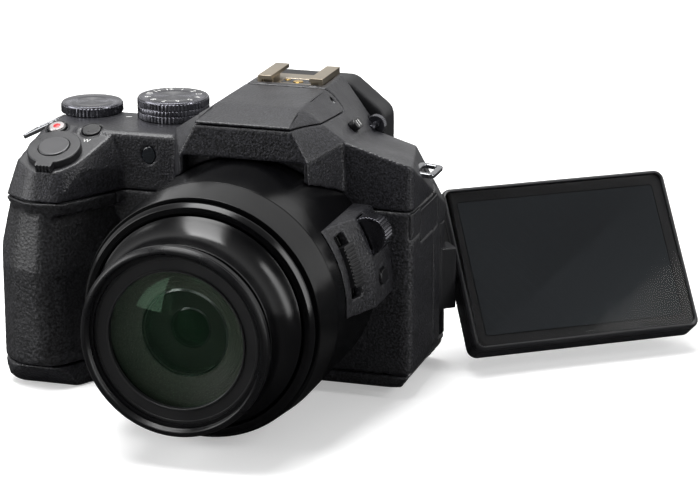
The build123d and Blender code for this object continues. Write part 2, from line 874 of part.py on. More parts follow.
def base_cover():
    solid = body & block(grip_x - cut_over, side_x + cut_over, grip_front_y - cut_over, rear_y + cut_over,
                         0, base_top)
    solid -= lens_clear
    solid -= lens_tail_clear
    solid -= inner_spaces()
    solid -= screen_recess()
    solid -= door_space(slide_gap)
    solid -= block(door_x0 - slide_gap, door_x1 + slide_gap, door_pivot_y,
                   door_pivot_y + door_thick / 2 + slide_gap, -cut_over, door_thick / 2)
    solid -= power_space(0, 0, base_top)
    solid += post(0, 0, socket_outer_r + wall, 0, socket_deep)
    solid -= post(0, 0, socket_outer_r, -cut_over, socket_deep - wall)
    solid -= door_pin()
    solid -= post(pivot_x, pivot_y, pin_r, pin_low, base_top)
    for x, y in base_screw_spots:
        solid -= post(x, y, screw_head_r, -cut_over, screw_head)
        solid -= post(x, y, screw_r, 0, screw_long)
    return solid


base_screw_spots = [(side_x - base_round, front_y + base_slope + 2 * screw_head_r),
                    (recess_left - screw_head_r, front_y + base_slope + 2 * screw_head_r),
                    (recess_left - screw_head_r, rear_y - 2 * screw_head_r)]


def door_space(gap):
    """The battery door's space, rounded about its pin, with one corner cut for the grip's shape."""
    plan = outline([(door_x0 - gap, door_pivot_y), (door_x0 - gap, door_front_y - gap),
                    (battery_x1 + gap, door_front_y - gap), (door_x1 + gap, door_corner_y - gap),
                    (door_x1 + gap, door_pivot_y)])
    solid = along_z(plan, -cut_over, door_thick + gap)
    turn_z = door_thick / 2
    solid += bar(door_pivot_y, turn_z, turn_z + gap, door_x0 - gap, door_x1 + gap)
    return solid + block(door_x0 - gap, door_x1 + gap, door_pivot_y - turn_z, door_pivot_y + gap,
                         -cut_over, turn_z)


def grip_rubber():
    """The rubber wrapped round the grip's nose and side."""
    return grip_skin & block(grip_x - cut_over, grip_in_x - rubber - seam_gap, grip_front_y - cut_over,
                             rubber_back_y - seam_gap, base_top + 2 * seam_gap, cover_bottom - 2 * seam_gap)


def lens_housing():
    """The fixed outer barrel, coned in front of a thin seam, with a tail inside the front shell."""
    seam_r = housing_r - 2 * seam_gap
    return turned([(housing_in_r, barrel_front_y), (barrel_front_r, barrel_front_y),
                   (housing_r, housing_front_y - seam_gap), (seam_r, housing_front_y - seam_gap),
                   (seam_r, housing_front_y + seam_gap), (housing_r, housing_front_y + seam_gap),
                   (housing_r, front_y), (housing_tail_r, front_y), (housing_tail_r, housing_tail_y),
                   (housing_in_r, housing_tail_y)]) - slot_space() - side_dial_space()


def front_rim():
    """The ring that closes the fixed barrel, behind a groove."""
    edge = rim_r - rim_face_r
    return turned([(rim_bore_r, barrel_front_y + rim_spigot), (housing_in_r, barrel_front_y + rim_spigot),
                   (housing_in_r, barrel_front_y), (groove_r, barrel_front_y), (groove_r, rim_back_y),
                   (rim_r, rim_back_y), (rim_r, rim_face_y + 1.5 * edge), (rim_face_r, rim_face_y),
                   (rim_bore_r + edge / 2, rim_face_y), (rim_bore_r, rim_face_y + edge / 2)])


def middle_barrel():
    """The first moving barrel: a guide collar, a tube and a hollow flare down to its neck."""
    flare_back_y = rim_face_y - seam_gap
    guide_r = housing_in_r - run_gap
    points = [(middle_bore_r, middle_back_y), (guide_r, middle_back_y),
              (guide_r, middle_back_y - guide_long), (middle_r, middle_back_y - guide_long)]
    for back_share, out_share in reversed(flare_shares):
        points.append((middle_neck_r + (middle_r - middle_neck_r) * out_share,
                       middle_front_y + (flare_back_y - middle_front_y) * back_share))
    points.append((middle_bore_r, middle_front_y))
    return turned(points)


def front_barrel():
    """The tube that carries the front glass and runs in the middle barrel."""
    seat_y = name_ring_y + name_ring_thick
    return turned([(front_tube_in_r, ring_back_y), (front_tube_r, ring_back_y),
                   (front_tube_r, front_tube_back_y), (front_tube_in_r, front_tube_back_y),
                   (front_tube_in_r, cell_back_y), (front_glass_r, cell_back_y), (front_glass_r, seat_y),
                   (front_tube_in_r, seat_y)])


def filter_ring():
    """The front ring, with the filter thread in its mouth."""
    thread_back_y = ring_face_y + filter_thread_depth
    small = ring_chamfer / 3
    return turned([(front_tube_in_r, ring_back_y), (ring_r - small, ring_back_y),
                   (ring_r, ring_back_y - small), (ring_r, ring_face_y + ring_chamfer),
                   (ring_r - ring_chamfer, ring_face_y), (filter_thread_r + small, ring_face_y),
                   (filter_thread_r, ring_face_y + small), (filter_thread_r, thread_back_y),
                   (front_tube_in_r, thread_back_y)])


def name_ring():
    """The flat ring round the front glass, with a raised lip at its inner edge."""
    back_y = name_ring_y + name_ring_thick
    lip_y = name_ring_y - retainer_proud
    return turned([(retainer_in_r, lip_y), (name_ring_in_r, lip_y), (name_ring_in_r, name_ring_y),
                   (front_tube_in_r, name_ring_y), (front_tube_in_r, back_y), (retainer_in_r, back_y)])


def domed(radius, sag_radius, apex_y, back_y):
    """A lens with a domed front and a flat back."""
    ball = Pos(0, apex_y + sag_radius, lens_z) * Sphere(sag_radius)
    return tube(radius, 0, apex_y - cut_over, back_y) & ball


def front_glass():
    sag = front_glass_sag_r - sqrt(front_glass_sag_r ** 2 - retainer_in_r ** 2)
    return domed(front_glass_r, front_glass_sag_r, name_ring_y + name_ring_thick - sag, front_glass_back_y)


def inner_baffle():
    """The black cone behind the front glass, with the second glass's tube and the third glass's plate."""
    tube_r = baffle_hole_r + baffle_tube
    return turned([(front_glass_r, front_glass_back_y), (front_glass_r - wall, front_glass_back_y),
                   (tube_r, baffle_in_y), (baffle_hole_r, baffle_in_y), (baffle_hole_r, stop_y),
                   (third_glass_r, stop_y), (third_glass_r, stop_y + stop_thick),
                   (tube_r, stop_y + stop_thick), (tube_r, baffle_in_y + baffle_thick),
                   (front_glass_r, front_glass_back_y + baffle_thick)])


def second_glass():
    return domed(baffle_hole_r, second_glass_sag_r, second_glass_y, second_glass_back_y)


def third_glass():
    return domed(third_glass_r, third_glass_sag_r, third_glass_y, third_glass_back_y)


def lens_base():
    """The plate that closes the lens at the back, with the tube of the rear lens group."""
    return turned([(lens_base_hole_r, rear_cell_front_y), (rear_cell_r, rear_cell_front_y),
                   (rear_cell_r, housing_tail_y), (housing_tail_r, housing_tail_y),
                   (housing_tail_r, housing_tail_y + lens_base_thick),
                   (lens_base_hole_r, housing_tail_y + lens_base_thick)])


def sensor_board():
    """The board behind the lens, with the image sensor on it."""
    y0 = housing_tail_y + lens_base_thick
    solid = block(-sensor_board_w / 2, sensor_board_w / 2, y0, y0 + sensor_board_thick,
                  lens_z - sensor_board_h / 2, lens_z + sensor_board_h / 2)
    return solid + block(-sensor_w / 2, sensor_w / 2, y0 - sensor_thick, y0, lens_z - sensor_h / 2,
                         lens_z + sensor_h / 2)


def panel_radius(y):
    """The outer radius of the control panel's cone at y."""
    share = (y - panel_front_y) / (panel_crease_y - panel_front_y)
    return panel_front_r + (panel_crease_r - panel_front_r) * share


def slot_ring(low, high, half):
    """A ring along the panel's slot, between two heights over the cone."""
    y0, y1 = slot_y - half, slot_y + half
    return turned([(panel_radius(y0) + low, y0), (panel_radius(y0) + high, y0),
                   (panel_radius(y1) + high, y1), (panel_radius(y1) + low, y1)])


def panel_wedge(low_deg, high_deg):
    """The part of space between two angles about the lens, over the panel's depth."""
    return along_y(sector(low_deg, high_deg, 2 * panel_crease_r), panel_front_y - cut_over, front_y)


def slot_space():
    """The space of the zoom lever's slot, down into the barrel."""
    return slot_ring(-slot_depth, slot_depth, slot_width / 2) & panel_wedge(slot_low_deg, slot_high_deg)


def side_dial_space():
    return rod(side_dial_x, side_dial_z, side_dial_r + slide_gap, side_dial_front_y - seam_gap,
               side_dial_back_y + seam_gap)


def side_panel():
    """The textured panel with the zoom lever's slot, the side dial and the focus button."""
    solid = turned([(housing_r, panel_front_y), (panel_front_r, panel_front_y), (panel_edge_r, panel_edge_y),
                    (panel_crease_r, panel_crease_y), (panel_crease_r, front_y), (housing_r, front_y)])
    solid &= panel_wedge(panel_low_deg, panel_high_deg)
    solid -= block(0, 2 * panel_crease_r, panel_front_y - cut_over, 0, panel_top_z, deck_z)
    solid -= slot_space()
    solid -= side_dial_space()
    solid -= focus_frame() * key(focus_long + 2 * run_gap, focus_wide + 2 * run_gap,
                                 -focus_skirt - focus_travel - run_gap, 2 * focus_rise)
    solid -= side_dial_pin()
    return solid - hump


def focus_frame():
    """A frame on the panel's side wall, with z pointing away from the lens axis."""
    turn = radians(focus_deg)
    return Plane(origin=(panel_crease_r * cos(turn), focus_y, lens_z + panel_crease_r * sin(turn)),
                 x_dir=(0, 1, 0), z_dir=(cos(turn), 0, sin(turn)))


def side_zoom_lever():
    """The ribbed lever in the panel's curved slot."""
    half = slot_width / 2 - run_gap
    solid = slot_ring(run_gap - slot_depth, lever_rise, half) & panel_wedge(lever_low_deg, lever_high_deg)
    pitch = (lever_high_deg - lever_low_deg) / lever_ribs
    for k in range(1, lever_ribs):
        middle = lever_low_deg + pitch * k
        solid -= slot_ring(lever_rise - lever_rib_depth, 2 * lever_rise, slot_width) & panel_wedge(
            middle - pitch / 5, middle + pitch / 5)
    return solid


def side_dial():
    """The knurled wheel in the side panel, with a dished face."""
    long = side_dial_back_y - side_dial_front_y
    wheel = Pos(side_dial_x, side_dial_back_y, side_dial_z) * Rot(90, 0, 0) * knurled(
        side_dial_r, tooth_depth, side_dial_teeth, long)
    wheel -= rod(side_dial_x, side_dial_z, side_dial_dish_r, side_dial_front_y - cut_over,
                 side_dial_front_y + side_dial_dish)
    return wheel - rod(side_dial_x, side_dial_z, small_pin_r + run_gap,
                       side_dial_front_y + 2 * side_dial_dish, side_dial_back_y + cut_over)


def side_dial_pin():
    return rod(side_dial_x, side_dial_z, small_pin_r, side_dial_front_y + 2 * side_dial_dish + run_gap,
               side_dial_back_y + wall)


def focus_button():
    return focus_frame() * key(focus_long, focus_wide, -focus_skirt, focus_rise)


def flash_lid():
    """The lid of the pop-up flash, which turns about the pin at its back."""
    solid = hump & flash_seam(0)
    return solid - bar(flash_hinge_y, hump_top - flash_hinge_r, flash_pin_r + run_gap, -shoulder_x,
                       shoulder_x)


def reflector_top(x):
    """The box of the flash up to the lid's sloping underside, with x on each side."""
    seam_start_y = hump_front_y - cut_over
    slope_drop = (flash_seam_front_z - (hump_top - 2 * flash_hinge_r)) / (flash_hinge_y - seam_start_y)
    front_z = flash_seam_front_z - slope_drop * (flash_box_front_y - seam_start_y)
    back_z = flash_seam_front_z - slope_drop * (flash_box_back_y - seam_start_y)
    side = outline([(flash_box_front_y, flash_box_low_z), (flash_box_back_y, flash_box_low_z),
                    (flash_box_back_y, back_z), (flash_box_front_y, front_z)])
    return along_x(side, -x, x)


def flash_reflector():
    """The box of the flash tube, under the lid."""
    return reflector_top(flash_box_x) - flash_window()


def flash_window():
    """The clear window of the flash."""
    return block(-flash_box_x + box_wall, flash_box_x - box_wall, flash_box_front_y,
                 flash_box_front_y + flash_window_thick, flash_box_low_z + box_wall, flash_window_z)


def flash_pin():
    return bar(flash_hinge_y, hump_top - flash_hinge_r, flash_pin_r, -flash_pin_x, flash_pin_x)


def flash_switch():
    """The sliding key that opens the flash."""
    return flank_frame() * key(switch_long, switch_wide, run_gap - switch_skirt, switch_rise)


def hot_shoe():
    """The stamped shoe: floor, two walls, the lips over the slot and two stops near its front end."""
    solid = shoe_space()
    stop_y = shoe_front_y + shoe_stop_in
    for y0, y1 in ((shoe_front_y - cut_over, stop_y), (stop_y + shoe_sheet, shoe_back_y + cut_over)):
        solid -= block(-shoe_slot_x, shoe_slot_x, y0, y1, shoe_floor_z, shoe_floor_z + shoe_slot_h)
    solid -= block(-shoe_lip_x, shoe_lip_x, shoe_front_y - cut_over, shoe_back_y + cut_over, shoe_floor_z,
                   shoe_top_z + cut_over)
    middle = (shoe_front_y + shoe_back_y) / 2
    return solid - block(-contact_pad_x, contact_pad_x, middle - contact_pad_y / 2,
                         middle + contact_pad_y / 2, shoe_floor_z - shoe_sheet, shoe_floor_z)


def eyepiece_outline():
    """The outer outline of the eyepiece frame, in (x, z)."""
    return outline([(-eye_x, eye_low_z), (eye_x, eye_low_z), (eye_x, cup_side_z), (eye_top_x, eye_high_z),
                    (-eye_top_x, eye_high_z), (-eye_x, cup_side_z)])


def eyepiece_frame():
    """The black frame between the hump and the eyecup."""
    solid = along_y(eyepiece_outline(), hump_back_y, eye_back_y)
    return solid - block(-eye_glass_x, eye_glass_x, hump_back_y - cut_over, eye_back_y + cut_over,
                         finder_z - eye_glass_h / 2, finder_z + eye_glass_h / 2)


def eyecup():
    """The soft cup that goes round the eyepiece."""
    outer = outline([(-cup_x, cup_low_z), (cup_x, cup_low_z), (cup_x, cup_side_z), (cup_top_x, cup_high_z),
                     (-cup_top_x, cup_high_z), (-cup_x, cup_side_z)],
                    {k: cup_round for k in range(6)})
    hole = outline([(-cup_hole_x, cup_hole_low_z), (cup_hole_x, cup_hole_low_z),
                    (cup_hole_x, cup_hole_high_z), (-cup_hole_x, cup_hole_high_z)],
                   {k: cup_hole_round for k in range(4)})
    solid = along_y(outer, cup_front_y, cup_back_y) - along_y(hole, cup_front_y, cup_back_y + cut_over)
    return solid - along_y(eyepiece_outline(), cup_front_y - cut_over, eye_back_y)


def eyepiece_glass():
    return block(-eye_glass_x, eye_glass_x, eye_back_y - wall - eye_glass_thick, eye_back_y - wall,
                 finder_z - eye_glass_h / 2, finder_z + eye_glass_h / 2)


def dioptre_wheel():
    """The small knurled wheel beside the eyepiece, with its stem."""
    wheel = Pos(dioptre_x, dioptre_y + dioptre_w, dioptre_z) * Rot(90, 0, 0) * knurled(
        dioptre_r, tooth_depth, side_dial_teeth, dioptre_w)
    return wheel + rod(dioptre_x, dioptre_z, small_pin_r, dioptre_y - 2 * dioptre_w + seam_gap, dioptre_y)


def top_dial(x, y, radius, height, teeth):
    """A knurled dial standing on the deck, with its stem inside the cover."""
    low = deck_z + seam_gap
    drum = Pos(x, y, low) * knurled(radius, tooth_depth, teeth, height - dial_edge)
    cap = Pos(x, y, low) * disc(radius - tooth_depth, height - dial_edge, height)
    return drum + cap + post(x, y, dial_stem_r, deck_z - dial_stem, low)


def mode_dial():
    solid = top_dial(mode_x, mode_y, mode_r, mode_h, mode_teeth)
    for share in mode_groove_shares:
        low = deck_z + seam_gap + mode_h * share
        solid -= post(mode_x, mode_y, mode_r + cut_over, low, low + tooth_depth) - post(
            mode_x, mode_y, mode_r - tooth_depth, low, low + tooth_depth)
    return solid


def control_dial():
    return top_dial(control_x, control_y, control_r, control_h, control_teeth)


def shutter_button():
    """The crowned button in the zoom ring, on its stem."""
    cap = disc(shutter_r, shutter_top - shutter_skirt, shutter_top)
    cap = fillet(cap.edges().group_by(Axis.Z)[-1], dial_edge)
    return on_plate(shutter_x, shutter_y) * (cap + disc(stem_r, -stem_len, shutter_top - shutter_skirt))


def zoom_ring():
    """The sprung zoom lever round the shutter button, with a ribbed finger tab at the front."""
    high = seam_gap + zoom_ring_h
    ring = disc(zoom_ring_r, seam_gap, high)
    ring = fillet(ring.edges().group_by(Axis.Z)[-1], dial_edge)
    tab_end = zoom_ring_r + zoom_tab_out
    middle = (seam_gap + high) / 2
    ring += Pos(0, -tab_end / 2, middle) * Box(zoom_tab_w, tab_end, zoom_ring_h)
    pitch = zoom_tab_w / zoom_tab_ribs
    for k in range(zoom_tab_ribs):
        x = pitch * (k + 0.5) - zoom_tab_w / 2
        ring += Pos(x, -tab_end, middle) * Box(pitch / 2, 2 * tooth_depth, zoom_ring_h)
    ring += disc(zoom_hub_r, run_gap - zoom_hub, seam_gap)
    ring -= disc(shutter_r + run_gap, shutter_low, high + cut_over)
    ring -= disc(stem_r + run_gap, -2 * zoom_hub, shutter_low)
    return on_plate(shutter_x, shutter_y) * ring


shutter_low = shutter_top - shutter_skirt - shutter_travel - run_gap


def small_button(x):
    """A round button on the grip plate."""
    cap = disc(small_r, -small_skirt, small_rise)
    return on_plate(x, small_y) * fillet(cap.edges().group_by(Axis.Z)[-1], dial_edge / 2)


def movie_button():
    return small_button(movie_x)


def burst_button():
    return small_button(burst_x)


def lamp_window():
    return along_y(lamp_outline(0), front_y, front_y + lamp_thick)


def screen_frame():
    """The screen's own frame: x out along the arm, y up its face, z out of its glass."""
    turn, lean = radians(open_deg), radians(lean_deg)
    arm = (cos(turn), sin(turn), 0)
    face = (sin(turn) * cos(lean), -cos(turn) * cos(lean), sin(lean))
    return Plane(origin=(pivot_x, pivot_y, arm_z), x_dir=arm, z_dir=face)


def slab(u0, u1, half, w0, w1, corner):
    """A flat slab in the screen's frame, with rounded corners."""
    face = Pos((u0 + u1) / 2, 0) * RectangleRounded(u1 - u0, 2 * half, corner)
    return Pos(0, 0, w0) * extrude(face, amount=w1 - w0)


def along_arm(radius, u0, u1):
    """A round rod along the screen frame's arm."""
    return Pos((u0 + u1) / 2, 0, 0) * Rot(0, 90, 0) * Cylinder(radius, u1 - u0)


case_end = case_start + case_long
case_back = -case_thick / 2
case_front = case_thick / 2
split_w = case_front - frame_deep
glass_u0 = case_start + glass_in
glass_u1 = case_end - glass_in
glass_half = case_half - glass_in
bearing_end = case_start + case_wall + bearing_long
shaft_end = bearing_end + run_gap + shaft_disc


def screen_rear_case():
    solid = slab(case_start, case_end, case_half, case_back, split_w, case_round)
    solid = chamfer(solid.faces().sort_by(Axis.Z)[0].edges(), case_edge)
    solid -= slab(case_start + case_wall, case_end - case_wall, case_half - case_wall,
                  case_back + case_wall, split_w + cut_over, case_round - case_wall)
    solid += along_arm(shaft_disc_r, case_start + case_edge, bearing_end) & slab(
        case_start, case_end, case_half, case_back, split_w, case_round)
    solid -= along_arm(shaft_r + run_gap, case_start - cut_over, bearing_end + cut_over)
    return screen_frame() * solid


def screen_front_frame():
    solid = slab(case_start, case_end, case_half, split_w, case_front, case_round)
    solid = chamfer(solid.faces().sort_by(Axis.Z)[-1].edges(), case_edge)
    solid -= slab(glass_u0, glass_u1, glass_half, glass_low, case_front + cut_over, case_round - case_edge)
    solid -= slab(glass_u0 + panel_in, glass_u1 - panel_in, glass_half - panel_in, split_w - cut_over,
                  case_front, case_edge)
    solid -= along_arm(shaft_r + run_gap, case_start - cut_over, bearing_end)
    solid -= along_arm(shaft_disc_r + run_gap, bearing_end, shaft_end + run_gap)
    return screen_frame() * solid


glass_low = case_front - glass_thick - glass_sunk


def screen_glass():
    return screen_frame() * slab(glass_u0 + seam_gap, glass_u1 - seam_gap, glass_half - seam_gap,
                                 glass_low, case_front - glass_sunk, case_round - case_edge)


def display_panel():
    return screen_frame() * slab(glass_u0 + panel_in, glass_u1 - panel_in, glass_half - panel_in,
                                 glass_low - panel_thick, glass_low, case_edge)


def screen_shaft():
    """The turning shaft between the hinge block and the screen, with the disc that holds it."""
    shaft = along_arm(shaft_r, shaft_in, shaft_end)
    return screen_frame() * (shaft + along_arm(shaft_disc_r, bearing_end + run_gap, shaft_end))


def hinge_block():
    """The upright block that swings on the hinge pin and carries the shaft."""
    solid = post(pivot_x, pivot_y, knuckle_r, block_low_z, block_high_z)
    solid += Pos(pivot_x, pivot_y, arm_z) * Rot(0, 0, open_deg) * Pos(web_out / 2, 0, 0) * Box(
        web_out, 2 * web_half, 2 * web_up)
    solid -= post(pivot_x, pivot_y, pin_r + run_gap, block_low_z - cut_over, block_high_z + cut_over)
    return solid - screen_frame() * along_arm(shaft_r + run_gap, shaft_in - run_gap, web_out + cut_over)


def battery():
    return block(battery_x0, battery_x1, battery_y0, battery_y1, battery_z0, battery_z1)


def battery_box():
    """The box of the battery, open at the door, with the sleeve of the memory card behind it."""
    gap = battery_gap
    solid = power_space(0, power_low_z, cover_bottom)
    solid -= block(battery_x0 - gap, battery_x1 + gap, battery_y0 - gap, battery_y1 + gap,
                   power_low_z - cut_over, battery_z1 + gap)
    return solid - block(card_x0 - slot_gap, card_x1 + slot_gap, card_y0 - slot_gap,
                         card_y0 + card_thick + slot_gap, power_low_z - cut_over,
                         card_z0 + card_long + slot_gap)


def memory_card():
    return block(card_x0, card_x1, card_y0, card_y0 + card_thick, card_z0, card_z0 + card_long)


def battery_door():
    """The door in the base, cut to the body's own outer shape."""
    return (door_space(0) & body) - bar(door_pivot_y, door_thick / 2, door_pin_r + run_gap,
                                        door_x0 - cut_over, door_x1 + cut_over)


def door_pin():
    return bar(door_pivot_y, door_thick / 2, door_pin_r, door_x0 - door_pin_out, door_x1 + door_pin_out)


def main_board():
    """The main circuit board with its chips, on the posts behind it."""
    solid = block(board_x0, board_x1, board_y, board_y + board_thick, board_z0, board_z1)
    for x in (-chip_w, chip_w / 2):
        solid += block(x, x + chip_w, board_y - chip_h, board_y, lens_z - chip_w / 2, lens_z + chip_w / 2)
    return solid


def tripod_socket():
    """The threaded bush of the tripod mount."""
    return post(0, 0, socket_outer_r, 0, socket_deep - wall) - post(
        0, 0, socket_r, -cut_over, socket_deep - wall + cut_over)


def pins_and_screws():
    """The hinge pins and the screws of the base."""
    made = [post(pivot_x, pivot_y, pin_r, pin_low, pin_high), flash_pin(), door_pin(), rear_dial_pin(),
            side_dial_pin()]
    for x, y in base_screw_spots:
        slot = Pos(x, y, screw_head / 4) * Box(2 * screw_head_r, screw_head / 2, screw_head / 2)
        shank = post(x, y, screw_r, screw_head, screw_long)
        made.append(post(x, y, screw_head_r, 0, screw_head) + shank - slot)
    return made


def mic_cap():
    return flap_space("mic_cap", 0) & body


def port_door():
    return flap_space("port_door", 0) & body


def socket_shapes():
    """The outer shapes of the microphone jack and the data socket."""
    outer_x = middle_front_x - seam_gap
    jack_z, plug_z = (cap_z0 + cap_z1) / 2, (port_z0 + port_z1) / 2
    return [bar(jack_y, jack_z, jack_r, outer_x - jack_long, outer_x),
            block(outer_x - plug_deep - wall, outer_x, plug_y - plug_w / 2, plug_y + plug_w / 2,
                  plug_z - plug_h / 2, plug_z + plug_h / 2)]


def side_sockets():
    """The microphone jack and the data socket behind the side's two flaps."""
    outer_x = middle_front_x - seam_gap
    jack, plug = socket_shapes()
    jack_z, plug_z = (cap_z0 + cap_z1) / 2, (port_z0 + port_z1) / 2
    jack -= bar(jack_y, jack_z, jack_bore_r, outer_x - jack_long + wall, outer_x + cut_over)
    plug -= block(outer_x - plug_deep, outer_x + cut_over, plug_y - plug_w / 2 + slot_wall,
                  plug_y + plug_w / 2 - slot_wall, plug_z - plug_h / 2 + slot_wall,
                  plug_z + plug_h / 2 - slot_wall)
    return [jack, plug]


def strap_lug(side, x, z, long, tilt):
    """A flat steel loop for the strap, rooted in the cover; side is -1 at the grip."""
    turn = radians(tilt)
    frame = Plane(origin=(x, lug_y, z), x_dir=(side * cos(turn), 0, -sin(turn)),
                  z_dir=(side * sin(turn), 0, cos(turn)))
    ring = RectangleRounded(long, lug_wide, lug_wire) - RectangleRounded(
        long - 2 * lug_wire, lug_wide - 2 * lug_wire, lug_wire / 2)
    loop = Pos(long / 2 - lug_wire, 0, -lug_thick / 2) * extrude(ring, amount=lug_thick)
    return frame * (loop + Pos(-lug_root_long / 2, 0, 0) * Box(lug_root_long, lug_wide / 2, lug_thick))


def strap_lugs():
    return [strap_lug(-1, grip_lug_x, grip_lug_z, grip_lug_long, grip_lug_tilt),
            strap_lug(1, right_lug_x, right_lug_z, right_lug_long, right_lug_tilt)]


def thumb_rest():
    """The rubber pad behind the grip."""
    face = Pos((thumb_x0 + thumb_x1) / 2, (thumb_z0 + thumb_z1) / 2) * RectangleRounded(
        thumb_x1 - thumb_x0, thumb_z1 - thumb_z0, case_round)
    return along_y(face, rear_y, rear_y + thumb_thick)


def four_way_pad():
    low, high = rear_y - back_skirt, rear_y + back_rise
    return rod(pad_x, pad_z, pad_r, low, high) - rod(pad_x, pad_z, set_r + run_gap, low - cut_over,
                                                     high + cut_over)


def back_button(name):
    x, z, radius = back_buttons[name]
    return rod(x, z, radius, rear_y - back_skirt, rear_y + back_rise)


def set_button():
    return back_button("set_button")


def menu_button():
    return back_button("menu_button")


def rear_dial():
    """The wheel that stands out at the back of the top cover."""
    wheel = Pos(rear_dial_x, rear_dial_y, rear_dial_z) * knurled(rear_dial_r, tooth_depth, rear_dial_teeth,
                                                                 rear_dial_h)
    return wheel - post(rear_dial_x, rear_dial_y, small_pin_r + run_gap, rear_dial_z - cut_over,
                        rear_dial_z + rear_dial_h + cut_over)


def rear_dial_pin():
    return post(rear_dial_x, rear_dial_y, small_pin_r, rear_dial_z - wall, rear_dial_z + rear_dial_h + wall)


pieces = [
    front_shell, rear_shell, top_cover, base_cover, grip_rubber, thumb_rest, lens_housing, front_rim,
    middle_barrel, front_barrel, filter_ring, name_ring, front_glass, inner_baffle, second_glass,
    third_glass, lens_base, sensor_board, side_panel, side_zoom_lever, side_dial, focus_button, flash_lid,
    flash_reflector, flash_window, flash_switch, hot_shoe, shoe_contacts, eyepiece_frame, eyecup,
    eyepiece_glass, dioptre_wheel, mode_dial, control_dial, rear_dial, shutter_button, zoom_ring,
    movie_button, burst_button, lamp_window, screen_rear_case, screen_front_frame, screen_glass,
    display_panel, screen_shaft, hinge_block, pins_and_screws, battery, battery_box, battery_door,
    memory_card, main_board, tripod_socket, mic_cap, port_door, side_sockets, strap_lugs, four_way_pad,
    set_button, menu_button,
]


def build():
    os.makedirs("parts", exist_ok=True)
    for make in pieces:
        made = make()
        if isinstance(made, list):
            made = Compound(children=made)
        export_step(made, os.path.join("parts", make.__name__ + ".step"))


build()
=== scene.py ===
import json
from math import atan2, pi, radians, sqrt

import bmesh
import bpy
from mathutils import Matrix, Vector


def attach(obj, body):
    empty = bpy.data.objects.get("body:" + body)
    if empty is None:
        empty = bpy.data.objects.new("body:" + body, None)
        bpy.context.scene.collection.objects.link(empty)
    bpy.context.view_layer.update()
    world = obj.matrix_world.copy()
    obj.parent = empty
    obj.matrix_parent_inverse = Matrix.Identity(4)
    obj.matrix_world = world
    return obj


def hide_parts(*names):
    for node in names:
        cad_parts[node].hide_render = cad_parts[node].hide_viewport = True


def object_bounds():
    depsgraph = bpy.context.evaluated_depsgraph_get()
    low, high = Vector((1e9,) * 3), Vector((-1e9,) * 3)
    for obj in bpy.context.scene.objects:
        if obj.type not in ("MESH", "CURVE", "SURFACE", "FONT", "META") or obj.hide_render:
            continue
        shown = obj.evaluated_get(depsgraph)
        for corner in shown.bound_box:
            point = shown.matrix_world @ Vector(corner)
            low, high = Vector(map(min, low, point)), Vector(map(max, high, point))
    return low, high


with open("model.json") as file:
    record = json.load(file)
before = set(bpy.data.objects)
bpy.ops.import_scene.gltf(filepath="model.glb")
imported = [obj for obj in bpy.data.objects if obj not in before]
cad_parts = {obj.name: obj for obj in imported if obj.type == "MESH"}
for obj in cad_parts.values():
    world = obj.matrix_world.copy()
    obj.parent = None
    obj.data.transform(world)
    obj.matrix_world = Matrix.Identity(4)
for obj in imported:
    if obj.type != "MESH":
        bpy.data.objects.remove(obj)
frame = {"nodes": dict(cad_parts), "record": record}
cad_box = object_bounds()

# A bridge camera in millimetres, turned to metres by mm where a mesh or a pattern is made.
# X runs to the camera's left side, where the screen hinges, Y to the back and Z up.
mm = 0.001

# Lens: radii are from its axis, and depths are in front of the tripod socket
lens_z = 38.3
ring_face = 97.7
ring_back = 94.2
ring_r = 28.3
thread_r = 26.0
thread_deep = 2.2
thread_pitch = 0.75
tube_in_r = 24.9
name_ring_face = 94.3
name_ring_thick = 1.0
name_ring_in_r = 20.9
lip_r = 20.3
lip_proud = 0.6
glass_r = 22.6
glass_back = 88.5
glass_front_sag_r = 130.0
glass_back_sag_r = 47.0
glass_steps = 24
baffle_in = 86.9
baffle_hole_r = 12.6
baffle_ridges = 9
stop_face = 82.0
third_glass_r = 5.6
seat_wide = 0.3
flare_back = 77.35
flare_front = 90.7
flare_r = 31.9
neck_r = 27.2
middle_bore_r = 25.9
middle_back = 44.0
guide_r = 33.32
guide_long = 4.0
flare_power = 3.3
flare_steps = 16

# Grip plate with the shutter button, and the two buttons behind it
deck_z = 78.0
plate_back_y = -17.5
plate_front_y = -40.2
plate_drop = 9.0
movie_at = (-66.5, -19.4)
burst_at = (-55.0, -19.4)
movie_disc_r = 2.5
collar_r = 4.0
small_button_top = 0.7
plate_low_z = 68.5
plate_facing = 0.985
wide_mark_at = (-54.8, -24.4)
tele_mark_at = (-69.6, -24.4)

# Printed marks
ink_proud = 0.06
letter_size = 2.2
number_size = 2.7
number_r = 8.0
numbers = 12
index_size = (2.0, 0.45)
index_off = (-1.6, -5.2)
index_turn = 20.0

# Dials on the deck
face_inset = 0.9
face_rise = 0.12
mode_at = (-36.4, 3.0)
mode_r = 11.4
mode_top = 84.55
control_at = (-63.5, 2.0)
control_r = 9.9
control_top = 81.15

# Switch on the hump's flank
switch_at = (24.2, 1.0, 80.2)
switch_lean = 52.0
switch_rise = 1.2

# View and light
photo_eye = (268.7, -796.7, 290.6)
photo_way = (-0.2791, 0.9155, -0.2898)
photo_lens = 143.7
photo_shift = (-0.0146, 0.0081)
floor_half = 2.5
floor_gap = 0.0002
floor_glow = 0.34
front_light = 0.09
rear_light = 0.75


# Materials

def linear(colour, alpha=1.0):
    """An sRGB hex colour as Blender's linear values."""
    shares = [int(colour[k:k + 2], 16) / 255 for k in (1, 3, 5)]
    return [s / 12.92 if s <= 0.04045 else ((s + 0.055) / 1.055) ** 2.4 for s in shares] + [alpha]


